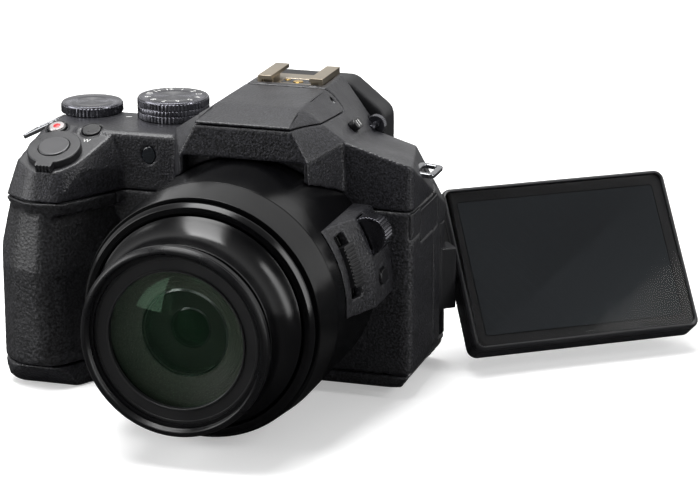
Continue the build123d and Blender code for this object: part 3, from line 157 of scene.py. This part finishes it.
def add(tree, kind, inputs=None, **settings):
    """Adds a node with its settings; each input takes a value or another node's output."""
    node = tree.nodes.new(kind)
    for name, value in settings.items():
        setattr(node, name, value)
    for name, value in (inputs or {}).items():
        if isinstance(value, bpy.types.NodeSocket):
            tree.links.new(value, node.inputs[name])
        else:
            node.inputs[name].default_value = value
    return node


def material(name, **inputs):
    """A material with one shader, whose sockets are named with _ for a space."""
    made = bpy.data.materials.new(name)
    made.use_nodes = True
    tree = made.node_tree
    tree.nodes.clear()
    shader = add(tree, "ShaderNodeBsdfPrincipled", {k.replace("_", " "): v for k, v in inputs.items()})
    output = add(tree, "ShaderNodeOutputMaterial", {"Surface": shader.outputs["BSDF"]})
    output.location.x = 300
    return made, tree, shader


def moulded(name, hollow, top, grain, height, rough, patch=0.08, **inputs):
    """A moulded surface: its grain's size and height in mm, painted shade in the grain's hollows and painted
    glints on its tops, and patches of more gloss.
    """
    made, tree, shader = material(name, **inputs)
    place = add(tree, "ShaderNodeTexCoord")
    pits = add(tree, "ShaderNodeTexNoise", {
        "Vector": place.outputs["Object"], "Scale": 1 / (grain * mm), "Detail": 2.5, "Roughness": 0.62})
    cells = add(tree, "ShaderNodeTexVoronoi", {
        "Vector": place.outputs["Object"], "Scale": 0.8 / (grain * mm)}, feature="SMOOTH_F1")
    relief = add(tree, "ShaderNodeMath", {0: pits.outputs["Fac"], 1: cells.outputs["Distance"]},
                 operation="MULTIPLY_ADD")
    relief.inputs[2].default_value = 0.2
    # The grain's hollows take the first colour and its tops the second: painted shade and painted glints that
    # follow the bump
    tone = add(tree, "ShaderNodeMapRange", {"Value": pits.outputs["Fac"], "From Min": 0.38, "From Max": 0.66})
    colour = add(tree, "ShaderNodeMix", {
        "Factor": tone.outputs["Result"], 6: linear(hollow), 7: linear(top)}, data_type="RGBA")
    handled = add(tree, "ShaderNodeTexNoise", {
        "Vector": place.outputs["Object"], "Scale": 1 / (14 * mm), "Detail": 3.0})
    gloss = add(tree, "ShaderNodeMapRange", {
        "Value": handled.outputs["Fac"], "From Min": 0.3, "From Max": 0.7,
        "To Min": rough - patch, "To Max": rough + patch})
    bump = add(tree, "ShaderNodeBump", {
        "Height": relief.outputs["Value"], "Distance": height * mm, "Strength": 1.0})
    tree.links.new(colour.outputs[2], shader.inputs["Base Color"])
    tree.links.new(gloss.outputs["Result"], shader.inputs["Roughness"])
    tree.links.new(bump.outputs["Normal"], shader.inputs["Normal"])
    return made


def lacquered(name, colour, rough, speck=0.3, height=0.002, **inputs):
    """A smooth painted or polished surface with a faint orange peel and handling marks."""
    made, tree, shader = material(name, Base_Color=linear(colour), **inputs)
    place = add(tree, "ShaderNodeTexCoord")
    peel = add(tree, "ShaderNodeTexNoise", {
        "Vector": place.outputs["Object"], "Scale": 1 / (speck * mm), "Detail": 2.0})
    wipes = add(tree, "ShaderNodeTexNoise", {
        "Vector": place.outputs["Object"], "Scale": 1 / (9 * mm), "Detail": 4.0, "Distortion": 0.6})
    gloss = add(tree, "ShaderNodeMapRange", {
        "Value": wipes.outputs["Fac"], "From Min": 0.3, "From Max": 0.7,
        "To Min": 0.82 * rough, "To Max": 1.2 * rough})
    bump = add(tree, "ShaderNodeBump", {
        "Height": peel.outputs["Fac"], "Distance": height * mm, "Strength": 1.0})
    tree.links.new(gloss.outputs["Result"], shader.inputs["Roughness"])
    tree.links.new(bump.outputs["Normal"], shader.inputs["Normal"])
    return made


def turned_metal(name, colour, rough, centre, pitch=0.32, **inputs):
    """Metal faced on a lathe: rings about an upright centre line in mm, and a sheen drawn across."""
    made, tree, shader = material(name, Base_Color=linear(colour), Metallic=1.0, Roughness=rough, **inputs)
    place = add(tree, "ShaderNodeTexCoord")
    middle = add(tree, "ShaderNodeMapping", {
        "Vector": place.outputs["Object"], "Location": [-mm * c for c in centre]}, vector_type="POINT")
    rings = add(tree, "ShaderNodeTexWave", {
        "Vector": middle.outputs["Vector"], "Scale": 1 / (pitch * mm) / 20, "Distortion": 0.4, "Detail": 2.0,
        "Detail Scale": 3.0}, wave_type="RINGS", rings_direction="Z")
    bump = add(tree, "ShaderNodeBump", {
        "Height": rings.outputs["Fac"], "Distance": 0.004 * mm, "Strength": 1.0})
    grooves = add(tree, "ShaderNodeTangent", direction_type="UV_MAP", uv_map="round")
    tree.links.new(grooves.outputs["Tangent"], shader.inputs["Tangent"])
    tree.links.new(bump.outputs["Normal"], shader.inputs["Normal"])
    return made


# In each moulded finish below, the first colour is painted shade in the grain's hollows and the second is a
# painted glint on its tops.
# Black polycarbonate from a spark-eroded mould: a fine sandy grain that glints where light grazes it.
# The real grain is about 0.2 mm; it is drawn at about 0.6 mm so that it shows.
body_plastic = moulded("polycarbonate_spark_eroded", "#030304", "#2c2c30", 0.62, 0.3, 0.4, IOR=1.5)
# The same plastic where the mould is finer, on the viewfinder housing and the deck
deck_plastic = moulded("polycarbonate_fine_texture", "#050506", "#2e2e33", 0.55, 0.22, 0.38, IOR=1.5)
# Finer still on the sloping plate round the shutter button
plate_plastic = moulded("polycarbonate_plate_texture", "#151517", "#2c2c30", 0.34, 0.03, 0.36, IOR=1.5)
# Thermoplastic rubber with a pebbled grain of about 0.7 mm, with painted shade in its hollows
grip_rubber = moulded("grip_rubber_pebbled", "#040405", "#2a2a2d", 0.72, 0.3, 0.46, IOR=1.5)
# Soft silicone rubber of the eyecup, smooth and dull
cup_rubber = moulded("eyecup_silicone_rubber", "#111113", "#1a1a1c", 0.5, 0.01, 0.5, IOR=1.42)
# Black lacquer over moulded barrels: deep, with a soft even gloss
barrel_lacquer = lacquered("barrel_satin_lacquer", "#050506", 0.2, IOR=1.5, Specular_IOR_Level=0.3)
# Black anodised aluminium of the filter ring, bead blasted before the bath
ring_black = lacquered("filter_ring_anodised_black", "#08080a", 0.3, speck=0.25, height=0.004, IOR=1.5,
                       Specular_IOR_Level=0.35)
# Matt black paint of the name ring
name_paint = lacquered("name_ring_matt_paint", "#101012", 0.5, speck=0.2, height=0.006, IOR=1.5)
# Flocked black at the back of the barrel, which takes nearly all light
baffle_black = moulded("baffle_flocked_black", "#040405", "#0b0b0b", 0.3, 0.03, 0.75, IOR=1.4)
# Satin paint of the ridged cone behind the front glass, olive grey as a painted green reflection of the
# coatings
cone_paint_and_reflection = moulded("baffle_paint_and_painted_reflection", "#4a5045", "#666c5f", 0.4, 0.01, 0.42, IOR=1.5)
# Polished edges that seat the inner glasses, which catch a bright arc
seat_metal = lacquered("glass_seat_polished", "#b9c4bd", 0.16, Metallic=1.0)
# Black satin acrylic of keys and levers
key_black = lacquered("key_satin_black", "#101012", 0.3, IOR=1.5)
# Black anodised aluminium of the dial edges, given as one even grey metal throughout
dial_black = lacquered("dial_anodised_black", "#6c6c72", 0.24, speck=0.2, height=0.004, Metallic=1.0)
# Zinc, satin plated, on the shutter button
satin_grey = lacquered("shutter_satin_plate", "#4c4c4d", 0.34, speck=0.12, height=0.004, Metallic=1.0)
# Moulded ring of the zoom lever, with a fine satin grain
ring_plastic = moulded("zoom_ring_fine_satin", "#161618", "#29292c", 0.3, 0.015, 0.34, IOR=1.5)
# Brushed nickel on the movie button
satin_nickel = lacquered("movie_satin_nickel", "#a8a3a3", 0.28, speck=0.12, height=0.004, Metallic=1.0)
# Stamped stainless steel of the shoe, which has a warm bronze tone under its black oxide
shoe_steel = lacquered("shoe_oxidised_steel", "#a89d8b", 0.34, speck=0.3, height=0.006, Metallic=1.0)
# Gilt on the contacts
gilt = lacquered("contact_gilt", "#d8b56a", 0.25, Metallic=1.0)
# Chromed wire of the strap lugs, its colour darkened as painted shade
chrome_with_painted_shade = lacquered("lug_chrome", "#98999c", 0.2, Metallic=1.0)
# Plain steel of pins and screws
plain_steel = lacquered("pin_plain_steel", "#8b8c8f", 0.3, Metallic=1.0)
# Blackened screws in the base
screw_black = lacquered("screw_black_oxide", "#1c1c1e", 0.35, Metallic=1.0)
# Aluminised reflector behind the flash window
mirror = lacquered("flash_reflector_aluminised", "#d8d9dc", 0.12, Metallic=1.0)
# White and red printing inks
white_ink = lacquered("printing_ink_white", "#d6d6d4", 0.5)
red_enamel = lacquered("enamel_red", "#b3141c", 0.3)
# Fibreglass board with green solder mask, and black chips
green_board = moulded("circuit_board_solder_mask", "#0b3a1e", "#13502b", 1.6, 0.03, 0.35)
# Plastic of battery, box and card
inner_plastic = moulded("inner_plastic_grey", "#1d1d20", "#2c2c30", 0.5, 0.02, 0.5)
# Satin black case of the screen, almost smooth
case_plastic = moulded("screen_case_fine_satin", "#111113", "#1d1d20", 0.32, 0.012, 0.36, IOR=1.5)

# Optical glass with a green anti-reflection coating: the cone behind shows through, and lamps come back green
coated_glass = material("lens_glass_coated", Base_Color=linear("#07100a"), Roughness=0.03, IOR=1.7,
                        Alpha=0.32, Specular_Tint=linear("#b4efc4"), Specular_IOR_Level=1.0)[0]
# The second glass behind it, and the third one, which closes the way into the dark barrel
second_coating = material("lens_glass_second", Base_Color=linear("#04140a"), Roughness=0.04, IOR=1.6,
                          Alpha=0.25, Specular_Tint=linear("#a8e0b4"), Specular_IOR_Level=0.6)[0]
# The third glass's opaque green base colour is a painted green reflection of its coating
third_glass_painted_green = material("lens_glass_third_painted_green", Base_Color=linear("#0d3616"), Roughness=0.03, IOR=1.6,
                         Specular_Tint=linear("#a5dcb2"), Specular_IOR_Level=0.6)[0]
clear_plastic = material("window_clear_acrylic", Base_Color=linear("#eef0f2"), Roughness=0.06, IOR=1.49,
                         Transmission_Weight=1.0)[0]
# Smoked acrylic of the focus lamp's window
smoked = material("lamp_smoked_acrylic", Base_Color=linear("#14171b"), Roughness=0.08, IOR=1.49,
                  Coat_Weight=0.6, Coat_Roughness=0.03)[0]
# Toughened cover glass over the display, dark because the display is off
cover_glass = material("screen_cover_glass", Base_Color=linear("#050505"), Roughness=0.05, IOR=1.5,
                       Alpha=0.35, Specular_IOR_Level=0.12)[0]
display_off = material("display_unlit", Base_Color=linear("#3a3d40"), Roughness=0.7, IOR=1.5,
                       Specular_IOR_Level=0.05)[0]


# Meshes

def spun(profile, steps=160):
    """A closed profile of (radius, height) points in mm, turned about Z."""
    mesh = bmesh.new()
    points = [mesh.verts.new((r * mm, 0, h * mm)) for r, h in profile]
    edges = [mesh.edges.new(pair) for pair in zip(points, points[1:] + points[:1])]
    bmesh.ops.spin(mesh, geom=points + edges, cent=(0, 0, 0), axis=(0, 0, 1), angle=2 * pi, steps=steps,
                   use_merge=True)
    bmesh.ops.remove_doubles(mesh, verts=mesh.verts, dist=0.0005 * mm)
    bmesh.ops.recalc_face_normals(mesh, faces=mesh.faces)
    return mesh


def round_edges(mesh, size, steps=2, corner=28):
    """Rounds every edge sharper than the corner angle; size in mm."""
    sharp = [e for e in mesh.edges if len(e.link_faces) == 2 and e.calc_face_angle(0) > radians(corner)]
    bmesh.ops.bevel(mesh, geom=sharp, offset=size * mm, offset_type="OFFSET", segments=steps, profile=0.5,
                    affect="EDGES", clamp_overlap=False, material=-1)
    return mesh


def placed(mesh, place):
    bmesh.ops.transform(mesh, matrix=place, verts=mesh.verts)
    return mesh


def map_round(mesh):
    """A UV map whose first direction runs round Z, for the grain of turned faces."""
    layer = mesh.loops.layers.uv.new("round")
    for face in mesh.faces:
        middle = face.calc_center_median()
        start = atan2(middle.y, middle.x)
        for loop in face.loops:
            x, y = loop.vert.co.x, loop.vert.co.y
            turn = atan2(y, x) if (x or y) else start
            turn += 2 * pi * round((start - turn) / (2 * pi))
            loop[layer].uv = (turn / (2 * pi), Vector((x, y)).length / (10 * mm))
    return mesh


def cad_mesh(node):
    """A node's mesh with its triangles joined and its flat faces whole."""
    mesh = bmesh.new()
    mesh.from_mesh(frame["nodes"][node].data)
    bmesh.ops.remove_doubles(mesh, verts=mesh.verts, dist=0.001 * mm)
    bmesh.ops.dissolve_limit(mesh, angle_limit=radians(0.02), verts=mesh.verts, edges=mesh.edges)
    return mesh


node_bodies = {n: body for body, nodes in frame["record"]["behaviour"]["bodies"].items() for n in nodes}


def piece(mesh, name, near, finish, replaces=True, crease=35):
    """Makes a mesh a piece with a finish, which moves with a node and by default stands for the node."""
    data = bpy.data.meshes.new(name)
    mesh.to_mesh(data)
    mesh.free()
    data.polygons.foreach_set("use_smooth", [True] * len(data.polygons))
    data.set_sharp_from_angle(angle=radians(crease))
    data.materials.append(finish)
    made = bpy.data.objects.new(name, data)
    bpy.context.scene.collection.objects.link(made)
    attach(made, node_bodies[near])
    if replaces:
        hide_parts(near)
    return made


def edged(node, finish, size, steps=2, corner=28, crease=35):
    """A node's own form with rounded edges, its flat faces shaded flat."""
    made = piece(round_edges(cad_mesh(node), size, steps, corner), node + "_piece", node, finish,
                 crease=crease)
    even = made.modifiers.new("even_faces", "WEIGHTED_NORMAL")
    even.keep_sharp = True
    return made


def soft_shell(node, finish, voxel, passes, kept=1.0):
    """A node's form with all its edges softened; its voxels in mm, and the share of its faces kept."""
    mesh = cad_mesh(node)
    data = bpy.data.meshes.new(node + "_sharp")
    mesh.to_mesh(data)
    holder = bpy.data.objects.new(node + "_sharp", data)
    bpy.context.scene.collection.objects.link(holder)
    remesh = holder.modifiers.new("soft", "REMESH")
    remesh.mode = "VOXEL"
    remesh.voxel_size = voxel * mm
    if kept < 1:
        holder.modifiers.new("smooth", "SMOOTH").iterations = passes
        fewer = holder.modifiers.new("fewer", "DECIMATE")
        fewer.ratio = kept
        passes = 0
    softer = bpy.data.meshes.new_from_object(holder.evaluated_get(bpy.context.evaluated_depsgraph_get()))
    mesh.clear()
    mesh.from_mesh(softer)
    bpy.data.objects.remove(holder)
    for _ in range(passes):
        bmesh.ops.smooth_vert(mesh, verts=mesh.verts, factor=0.5, use_axis_x=True, use_axis_y=True,
                              use_axis_z=True)
    return piece(mesh, node + "_shell", node, finish, crease=180)


def letters(mesh, words, size, place):
    """Adds printed words to a mesh, centred on a frame; size in mm."""
    curve = bpy.data.curves.new("words", "FONT")
    curve.body = words
    curve.size = size * mm
    curve.align_x = "CENTER"
    curve.align_y = "CENTER"
    curve.extrude = 0.01 * mm
    holder = bpy.data.objects.new("words", curve)
    bpy.context.scene.collection.objects.link(holder)
    flat = bpy.data.meshes.new_from_object(holder.evaluated_get(bpy.context.evaluated_depsgraph_get()))
    bpy.data.objects.remove(holder)
    flat.transform(place)
    mesh.from_mesh(flat)


def bar(mesh, sizes, place):
    """Adds a small block to a mesh, given its sizes in mm and its frame."""
    bmesh.ops.create_cube(mesh, size=mm, matrix=place @ Matrix.Diagonal((*sizes, 1.0)))


def at(x, y, z):
    return Matrix.Translation((x * mm, y * mm, z * mm))


lens_place = at(0, 0, lens_z) @ Matrix.Rotation(pi / 2, 4, "X")
plate_tilt = atan2(plate_drop, plate_back_y - plate_front_y)


def on_plate(x, y):
    """The frame at a spot of the grip's sloping plate."""
    z = deck_z - (plate_back_y - y) * plate_drop / (plate_back_y - plate_front_y)
    return at(x, y, z) @ Matrix.Rotation(plate_tilt, 4, "X")


# Shells
soft_shell("front_shell", body_plastic, 0.62, 4)
soft_shell("rear_shell", body_plastic, 0.7, 3)
cover = soft_shell("top_cover", deck_plastic, 0.44, 4, kept=0.42)
soft_shell("base_cover", body_plastic, 0.7, 3)
soft_shell("grip_rubber", grip_rubber, 0.55, 3)
soft_shell("thumb_rest", grip_rubber, 0.5, 4)
edged("flash_lid", deck_plastic, 0.45, steps=3, corner=12, crease=50)
soft_shell("eyecup", cup_rubber, 0.55, 4)
soft_shell("side_panel", body_plastic, 0.36, 3)

# The sloping plate round the shutter button has the finer grain
cover.data.materials.append(plate_plastic)
plate_out = on_plate(0, 0).to_3x3() @ Vector((0, 0, 1))
for face in cover.data.polygons:
    on_slope = face.center.y < plate_back_y * mm and face.center.z > plate_low_z * mm
    if on_slope and face.normal.dot(plate_out) > plate_facing:
        face.material_index = 1

# Small pieces with their own form
edged("lens_housing", barrel_lacquer, 0.12)
edged("front_rim", barrel_lacquer, 0.2)
edged("front_barrel", barrel_lacquer, 0.08)
edged("eyepiece_frame", key_black, 0.4)
edged("mic_cap", body_plastic, 0.3)
edged("port_door", body_plastic, 0.3)
edged("battery_door", body_plastic, 0.3)
edged("hinge_block", case_plastic, 0.5)
edged("side_zoom_lever", key_black, 0.1)
edged("side_dial", dial_black, 0.08, steps=1)
edged("focus_button", key_black, 0.25)
edged("flash_switch", key_black, 0.3)
edged("dioptre_wheel", dial_black, 0.05, steps=1)
edged("mode_dial", dial_black, 0.09, steps=1)
edged("control_dial", dial_black, 0.09, steps=1)
edged("rear_dial", dial_black, 0.05, steps=1)
edged("zoom_ring", ring_plastic, 0.1)
edged("shutter_button", satin_grey, 0.08)
edged("burst_button", key_black, 0.08)
edged("movie_button", key_black, 0.08)
edged("hot_shoe", shoe_steel, 0.12)
edged("shoe_contacts", gilt, 0.1)
edged("lamp_window", smoked, 0.35)
edged("strap_lugs", chrome_with_painted_shade, 0.3)
edged("four_way_pad", key_black, 0.25)
edged("set_button", key_black, 0.25)
edged("menu_button", key_black, 0.25)
edged("tripod_socket", plain_steel, 0.15)
edged("pins_and_screws", screw_black, 0.05, steps=1)
edged("side_sockets", key_black, 0.12)
edged("screen_shaft", plain_steel, 0.1)
edged("screen_rear_case", case_plastic, 0.35, steps=3)
edged("screen_front_frame", case_plastic, 0.3, steps=3)
edged("screen_glass", cover_glass, 0.12)
edged("flash_reflector", mirror, 0.1)
edged("flash_window", clear_plastic, 0.1)
edged("eyepiece_glass", clear_plastic, 0.1)

# Inner pieces keep their own meshes
inner_finishes = {
    "battery": inner_plastic, "battery_box": inner_plastic, "memory_card": inner_plastic,
    "main_board": green_board, "sensor_board": green_board, "lens_base": baffle_black,
    "display_panel": display_off}
for inner_node, inner_finish in inner_finishes.items():
    inner_mesh = frame["nodes"][inner_node].data
    inner_mesh.materials.clear()
    inner_mesh.materials.append(inner_finish)


# Lens

def middle_barrel():
    """The first moving barrel, with a hollow flare from the rim to its neck."""
    profile = [(middle_bore_r, middle_back), (guide_r, middle_back), (guide_r, middle_back + guide_long),
               (flare_r, middle_back + guide_long)]
    for k in range(flare_steps + 1):
        share = k / flare_steps
        height = flare_front + (flare_back - flare_front) * (1 - share)
        profile.append((neck_r + (flare_r - neck_r) * (1 - share) ** flare_power, height))
    profile.append((middle_bore_r, flare_front))
    return profile


def filter_ring():
    """The front ring, with a chamfered nose and the filter thread in its mouth."""
    crest, root = thread_r, thread_r + 0.3
    profile = [(tube_in_r, ring_back), (ring_r - 0.3, ring_back), (ring_r, ring_back + 0.3),
               (ring_r, ring_face - 1.5), (ring_r - 0.2, ring_face - 1.25), (ring_r - 0.2, ring_face - 0.9),
               (ring_r - 0.9, ring_face - 0.1), (ring_r - 1.1, ring_face), (root + 0.25, ring_face),
               (root, ring_face - 0.2)]
    height = ring_face - 0.3
    while height > ring_face - thread_deep + thread_pitch / 2:
        profile += [(crest, height - thread_pitch / 2), (root, height - thread_pitch)]
        height -= thread_pitch
    return profile + [(crest, ring_face - thread_deep), (tube_in_r, ring_face - thread_deep)]


def name_ring():
    """The flat ring round the front glass: two fine steps, a channel and a raised lip."""
    face, back = name_ring_face, name_ring_face - name_ring_thick
    return [(lip_r, face + lip_proud - 0.15), (lip_r + 0.15, face + lip_proud),
            (name_ring_in_r - 0.12, face + lip_proud), (name_ring_in_r, face + lip_proud - 0.12),
            (name_ring_in_r, face), (tube_in_r - 0.9, face), (tube_in_r - 0.8, face + 0.15),
            (tube_in_r - 0.3, face + 0.15), (tube_in_r - 0.2, face), (tube_in_r, face),
            (tube_in_r, back), (lip_r, back)]


def inner_baffle():
    """The ridged black cone behind the front glass, and the plate that holds the third glass."""
    wall = 1.8
    start, end = (glass_r - wall, glass_back), (baffle_hole_r + 1.0, baffle_in)
    profile = [(glass_r, glass_back), start]
    for k in range(baffle_ridges):
        low, high = k / baffle_ridges, (k + 0.65) / baffle_ridges
        for share, sink in ((low, 0.0), (high, 0.22), (high, 0.0)):
            profile.append((start[0] + (end[0] - start[0]) * share,
                            start[1] + (end[1] - start[1]) * share - sink))
    return profile + [end, (baffle_hole_r, baffle_in), (baffle_hole_r, stop_face), (third_glass_r, stop_face),
                      (third_glass_r, stop_face - 1.2), (baffle_hole_r + 1.0, stop_face - 1.2),
                      (baffle_hole_r + 1.0, baffle_in - 1.5), (glass_r, glass_back - 1.5)]


def front_glass():
    """The first glass: gently domed in front, hollow behind."""
    face = name_ring_face - name_ring_thick
    profile = [(0.0, face + dome(lip_r, glass_front_sag_r))]
    for k in range(1, glass_steps + 1):
        r = lip_r * k / glass_steps
        profile.append((r, face + dome(lip_r, glass_front_sag_r) - dome(r, glass_front_sag_r)))
    profile += [(glass_r, face), (glass_r, glass_back)]
    for k in range(glass_steps, -1, -1):
        r = lip_r * k / glass_steps
        profile.append((r, glass_back + 0.1 + dome(lip_r, glass_back_sag_r) - dome(r, glass_back_sag_r)))
    return profile


def dome(radius, sag_radius):
    """The depth of a ball's cap."""
    return sag_radius - sqrt(sag_radius ** 2 - radius ** 2)


piece(placed(round_edges(spun(middle_barrel(), 192), 0.15), lens_place), "middle_barrel_flare",
      "middle_barrel", barrel_lacquer)
piece(placed(spun(filter_ring(), 192), lens_place), "filter_ring_threaded", "filter_ring", ring_black)
piece(placed(spun(name_ring(), 192), lens_place), "name_ring_stepped", "name_ring", name_paint)
piece(placed(spun(inner_baffle(), 128), lens_place), "inner_baffle_ridged", "inner_baffle", cone_paint_and_reflection)
piece(placed(spun(front_glass(), 128), lens_place), "front_glass_polished", "front_glass", coated_glass)
piece(cad_mesh("second_glass"), "second_glass_polished", "second_glass", second_coating)
piece(cad_mesh("third_glass"), "third_glass_polished", "third_glass", third_glass_painted_green)
for name, radius, height in (("second", baffle_hole_r, baffle_in), ("third", third_glass_r, stop_face)):
    seat = spun([(radius, height - seat_wide), (radius, height + seat_wide),
                 (radius + 2 * seat_wide, height)], 128)
    piece(placed(seat, lens_place), name + "_glass_seat", "inner_baffle", seat_metal, replaces=False)


# Dial faces, collars and marks

def dial_face(name, near, spot, radius, top, finish):
    """The turned face on a dial: an outer band, a groove and a slightly sunk middle."""
    rise = face_rise
    profile = [(0, 0.0), (0, 0.45 * rise), (0.52 * radius, 0.45 * rise), (0.55 * radius, 0.1 * rise),
               (0.58 * radius, 0.1 * rise), (0.61 * radius, rise), (radius - 0.15, rise),
               (radius, 0.3 * rise), (radius, 0.0)]
    return piece(placed(map_round(spun(profile, 128)), at(spot[0], spot[1], top)), name, near, finish,
                 replaces=False, crease=30)


# Faced aluminium on the two dials, a little paler on the rear one
for dial, spot, radius, top, colour in (("mode_dial", mode_at, mode_r, mode_top, "#606065"),
                                        ("control_dial", control_at, control_r, control_top, "#6c6c71")):
    faced = turned_metal(dial + "_faced_aluminium", colour, 0.24, (*spot, top), Anisotropic=0.95)
    dial_face(dial + "_face", dial, spot, radius - face_inset, top, faced)

# Plain numbers round the mode dial
marks = bmesh.new()
for k in range(numbers):
    spot = at(*mode_at, mode_top + face_rise + 0.01) @ Matrix.Rotation(-2 * pi * k / numbers, 4, "Z")
    letters(marks, str(k + 1), number_size, spot @ at(0, number_r, 0))
piece(marks, "mode_dial_numbers", "mode_dial", white_ink, replaces=False)

# The index beside the mode dial, and the letters beside the zoom lever
marks = bmesh.new()
index_at = at(mode_at[0] - mode_r + index_off[0], mode_at[1] + index_off[1], deck_z + 0.01)
bar(marks, (*index_size, ink_proud), index_at @ Matrix.Rotation(radians(index_turn), 4, "Z"))
for mark, spot in (("W", wide_mark_at), ("T", tele_mark_at)):
    letters(marks, mark, letter_size, on_plate(*spot) @ at(0, 0, ink_proud))
piece(marks, "deck_marks", "top_cover", white_ink, replaces=False)

# The nickel disc and red dot of the movie button, and a fine collar round each of the two small buttons
disc = spun([(0, 0.0), (0, 0.3), (movie_disc_r - 0.3, 0.24), (movie_disc_r, 0.0)], 64)
movie_top = on_plate(*movie_at) @ at(0, 0, small_button_top)
piece(placed(disc, movie_top), "movie_button_disc", "movie_button", satin_nickel, replaces=False)
dot = spun([(0, 0.3), (0, 0.4), (0.95, 0.36), (1.15, 0.25)], 48)
piece(placed(dot, movie_top), "movie_button_dot", "movie_button", red_enamel, replaces=False)
for side, spot in (("left", movie_at), ("right", burst_at)):
    collar = spun([(collar_r - 0.7, -0.3), (collar_r - 0.7, 0.12), (collar_r - 0.45, 0.3), (collar_r, 0.05),
                   (collar_r, -0.3)], 64)
    piece(placed(collar, on_plate(*spot)), "small_button_collar_" + side, "top_cover", ring_plastic,
          replaces=False)

# Two bars on the flash switch
marks = bmesh.new()
flank = at(*switch_at) @ Matrix.Rotation(radians(switch_lean), 4, "Y")
for along in (-1.3, 0.4):
    bar(marks, (2.0, 0.35, ink_proud), flank @ at(0, along, switch_rise + 0.01))
piece(marks, "flash_switch_bars", "flash_switch", white_ink, replaces=False)


# View and light

def look_from(eye, way):
    """Places the camera at a point in mm, looking along a direction."""
    view = bpy.data.cameras.new("photo_view")
    view.lens = photo_lens
    view.shift_x, view.shift_y = photo_shift
    view.clip_start = 0.01
    holder = bpy.data.objects.new("photo_view", view)
    holder.location = [mm * v for v in eye]
    holder.rotation_mode = "QUATERNION"
    holder.rotation_quaternion = Vector(way).to_track_quat("-Z", "Y")
    bpy.context.scene.collection.objects.link(holder)
    bpy.context.scene.camera = holder


def softbox(name, spot, target, width, height, watts):
    """A soft rectangular lamp, in metres, turned to a target."""
    lamp = bpy.data.lights.new(name, "AREA")
    lamp.shape = "RECTANGLE"
    lamp.size, lamp.size_y = width, height
    lamp.energy = watts
    holder = bpy.data.objects.new(name, lamp)
    holder.location = spot
    holder.rotation_mode = "QUATERNION"
    holder.rotation_quaternion = (Vector(target) - Vector(spot)).to_track_quat("-Z", "Y")
    bpy.context.scene.collection.objects.link(holder)


def studio_floor():
    """A pale floor, white to the camera, with the object's soft shadow, and dark in gloss."""
    mesh = bmesh.new()
    bmesh.ops.create_grid(mesh, x_segments=1, y_segments=1, size=floor_half)
    data = bpy.data.meshes.new("studio_floor")
    mesh.to_mesh(data)
    mesh.free()
    floor = bpy.data.objects.new("studio_floor", data)
    low = cad_box[0][2]
    for vertex in data.vertices:
        vertex.co.z = low - floor_gap
    bpy.context.scene.collection.objects.link(floor)
    made, tree, shader = material("floor_white_paper", Roughness=0.9, Specular_IOR_Level=0.0)
    path = add(tree, "ShaderNodeLightPath")
    seen = add(tree, "ShaderNodeMix", {
        "Factor": path.outputs["Is Glossy Ray"], 6: linear("#e9e9e9"), 7: linear("#3c3c3c")},
        data_type="RGBA")
    tree.links.new(seen.outputs[2], shader.inputs["Base Color"])
    glow = add(tree, "ShaderNodeMath", {0: path.outputs["Is Camera Ray"], 1: floor_glow},
               operation="MULTIPLY")
    shader.inputs["Emission Color"].default_value = linear("#ffffff")
    tree.links.new(glow.outputs["Value"], shader.inputs["Emission Strength"])
    data.materials.append(made)


def studio_world():
    """White behind the object, as the camera, glass and metal see it, and darker in front."""
    world = bpy.data.worlds.new("studio")
    bpy.context.scene.world = world
    world.use_nodes = True
    tree = world.node_tree
    tree.nodes.clear()
    path = add(tree, "ShaderNodeLightPath")
    way = add(tree, "ShaderNodeTexCoord")
    parts = add(tree, "ShaderNodeSeparateXYZ", {"Vector": way.outputs["Generated"]})
    back = add(tree, "ShaderNodeMapRange", {
        "Value": parts.outputs["Y"], "From Min": -0.35, "From Max": 0.6, "To Min": front_light,
        "To Max": rear_light})
    level = add(tree, "ShaderNodeMix", {
        "Factor": path.outputs["Is Camera Ray"], "A": back.outputs["Result"], "B": 1.0}, data_type="FLOAT")
    back_light = add(tree, "ShaderNodeBackground", {
        "Color": linear("#ffffff"), "Strength": level.outputs[0]})
    add(tree, "ShaderNodeOutputWorld", {"Surface": back_light.outputs["Background"]})


look_from(photo_eye, photo_way)
softbox("top_softbox", (-0.15, 0.0, 0.95), (0, -0.02, 0.04), 0.9, 0.5, 15.0)
softbox("left_softbox", (-0.95, -0.35, 0.45), (0, 0, 0.05), 0.35, 0.7, 4.0)
softbox("left_front_softbox", (-0.84, -0.8, 0.36), (0, -0.09, 0.04), 0.75, 0.85, 5.5)
softbox("right_softbox", (0.95, -0.15, 0.4), (0, 0, 0.05), 0.25, 0.9, 5.0)
softbox("front_fill", (0.1, -1.3, 0.8), (0, 0, 0.04), 0.7, 0.5, 0.7)
studio_floor()
studio_world()
bpy.context.scene.view_settings.view_transform = "Standard"
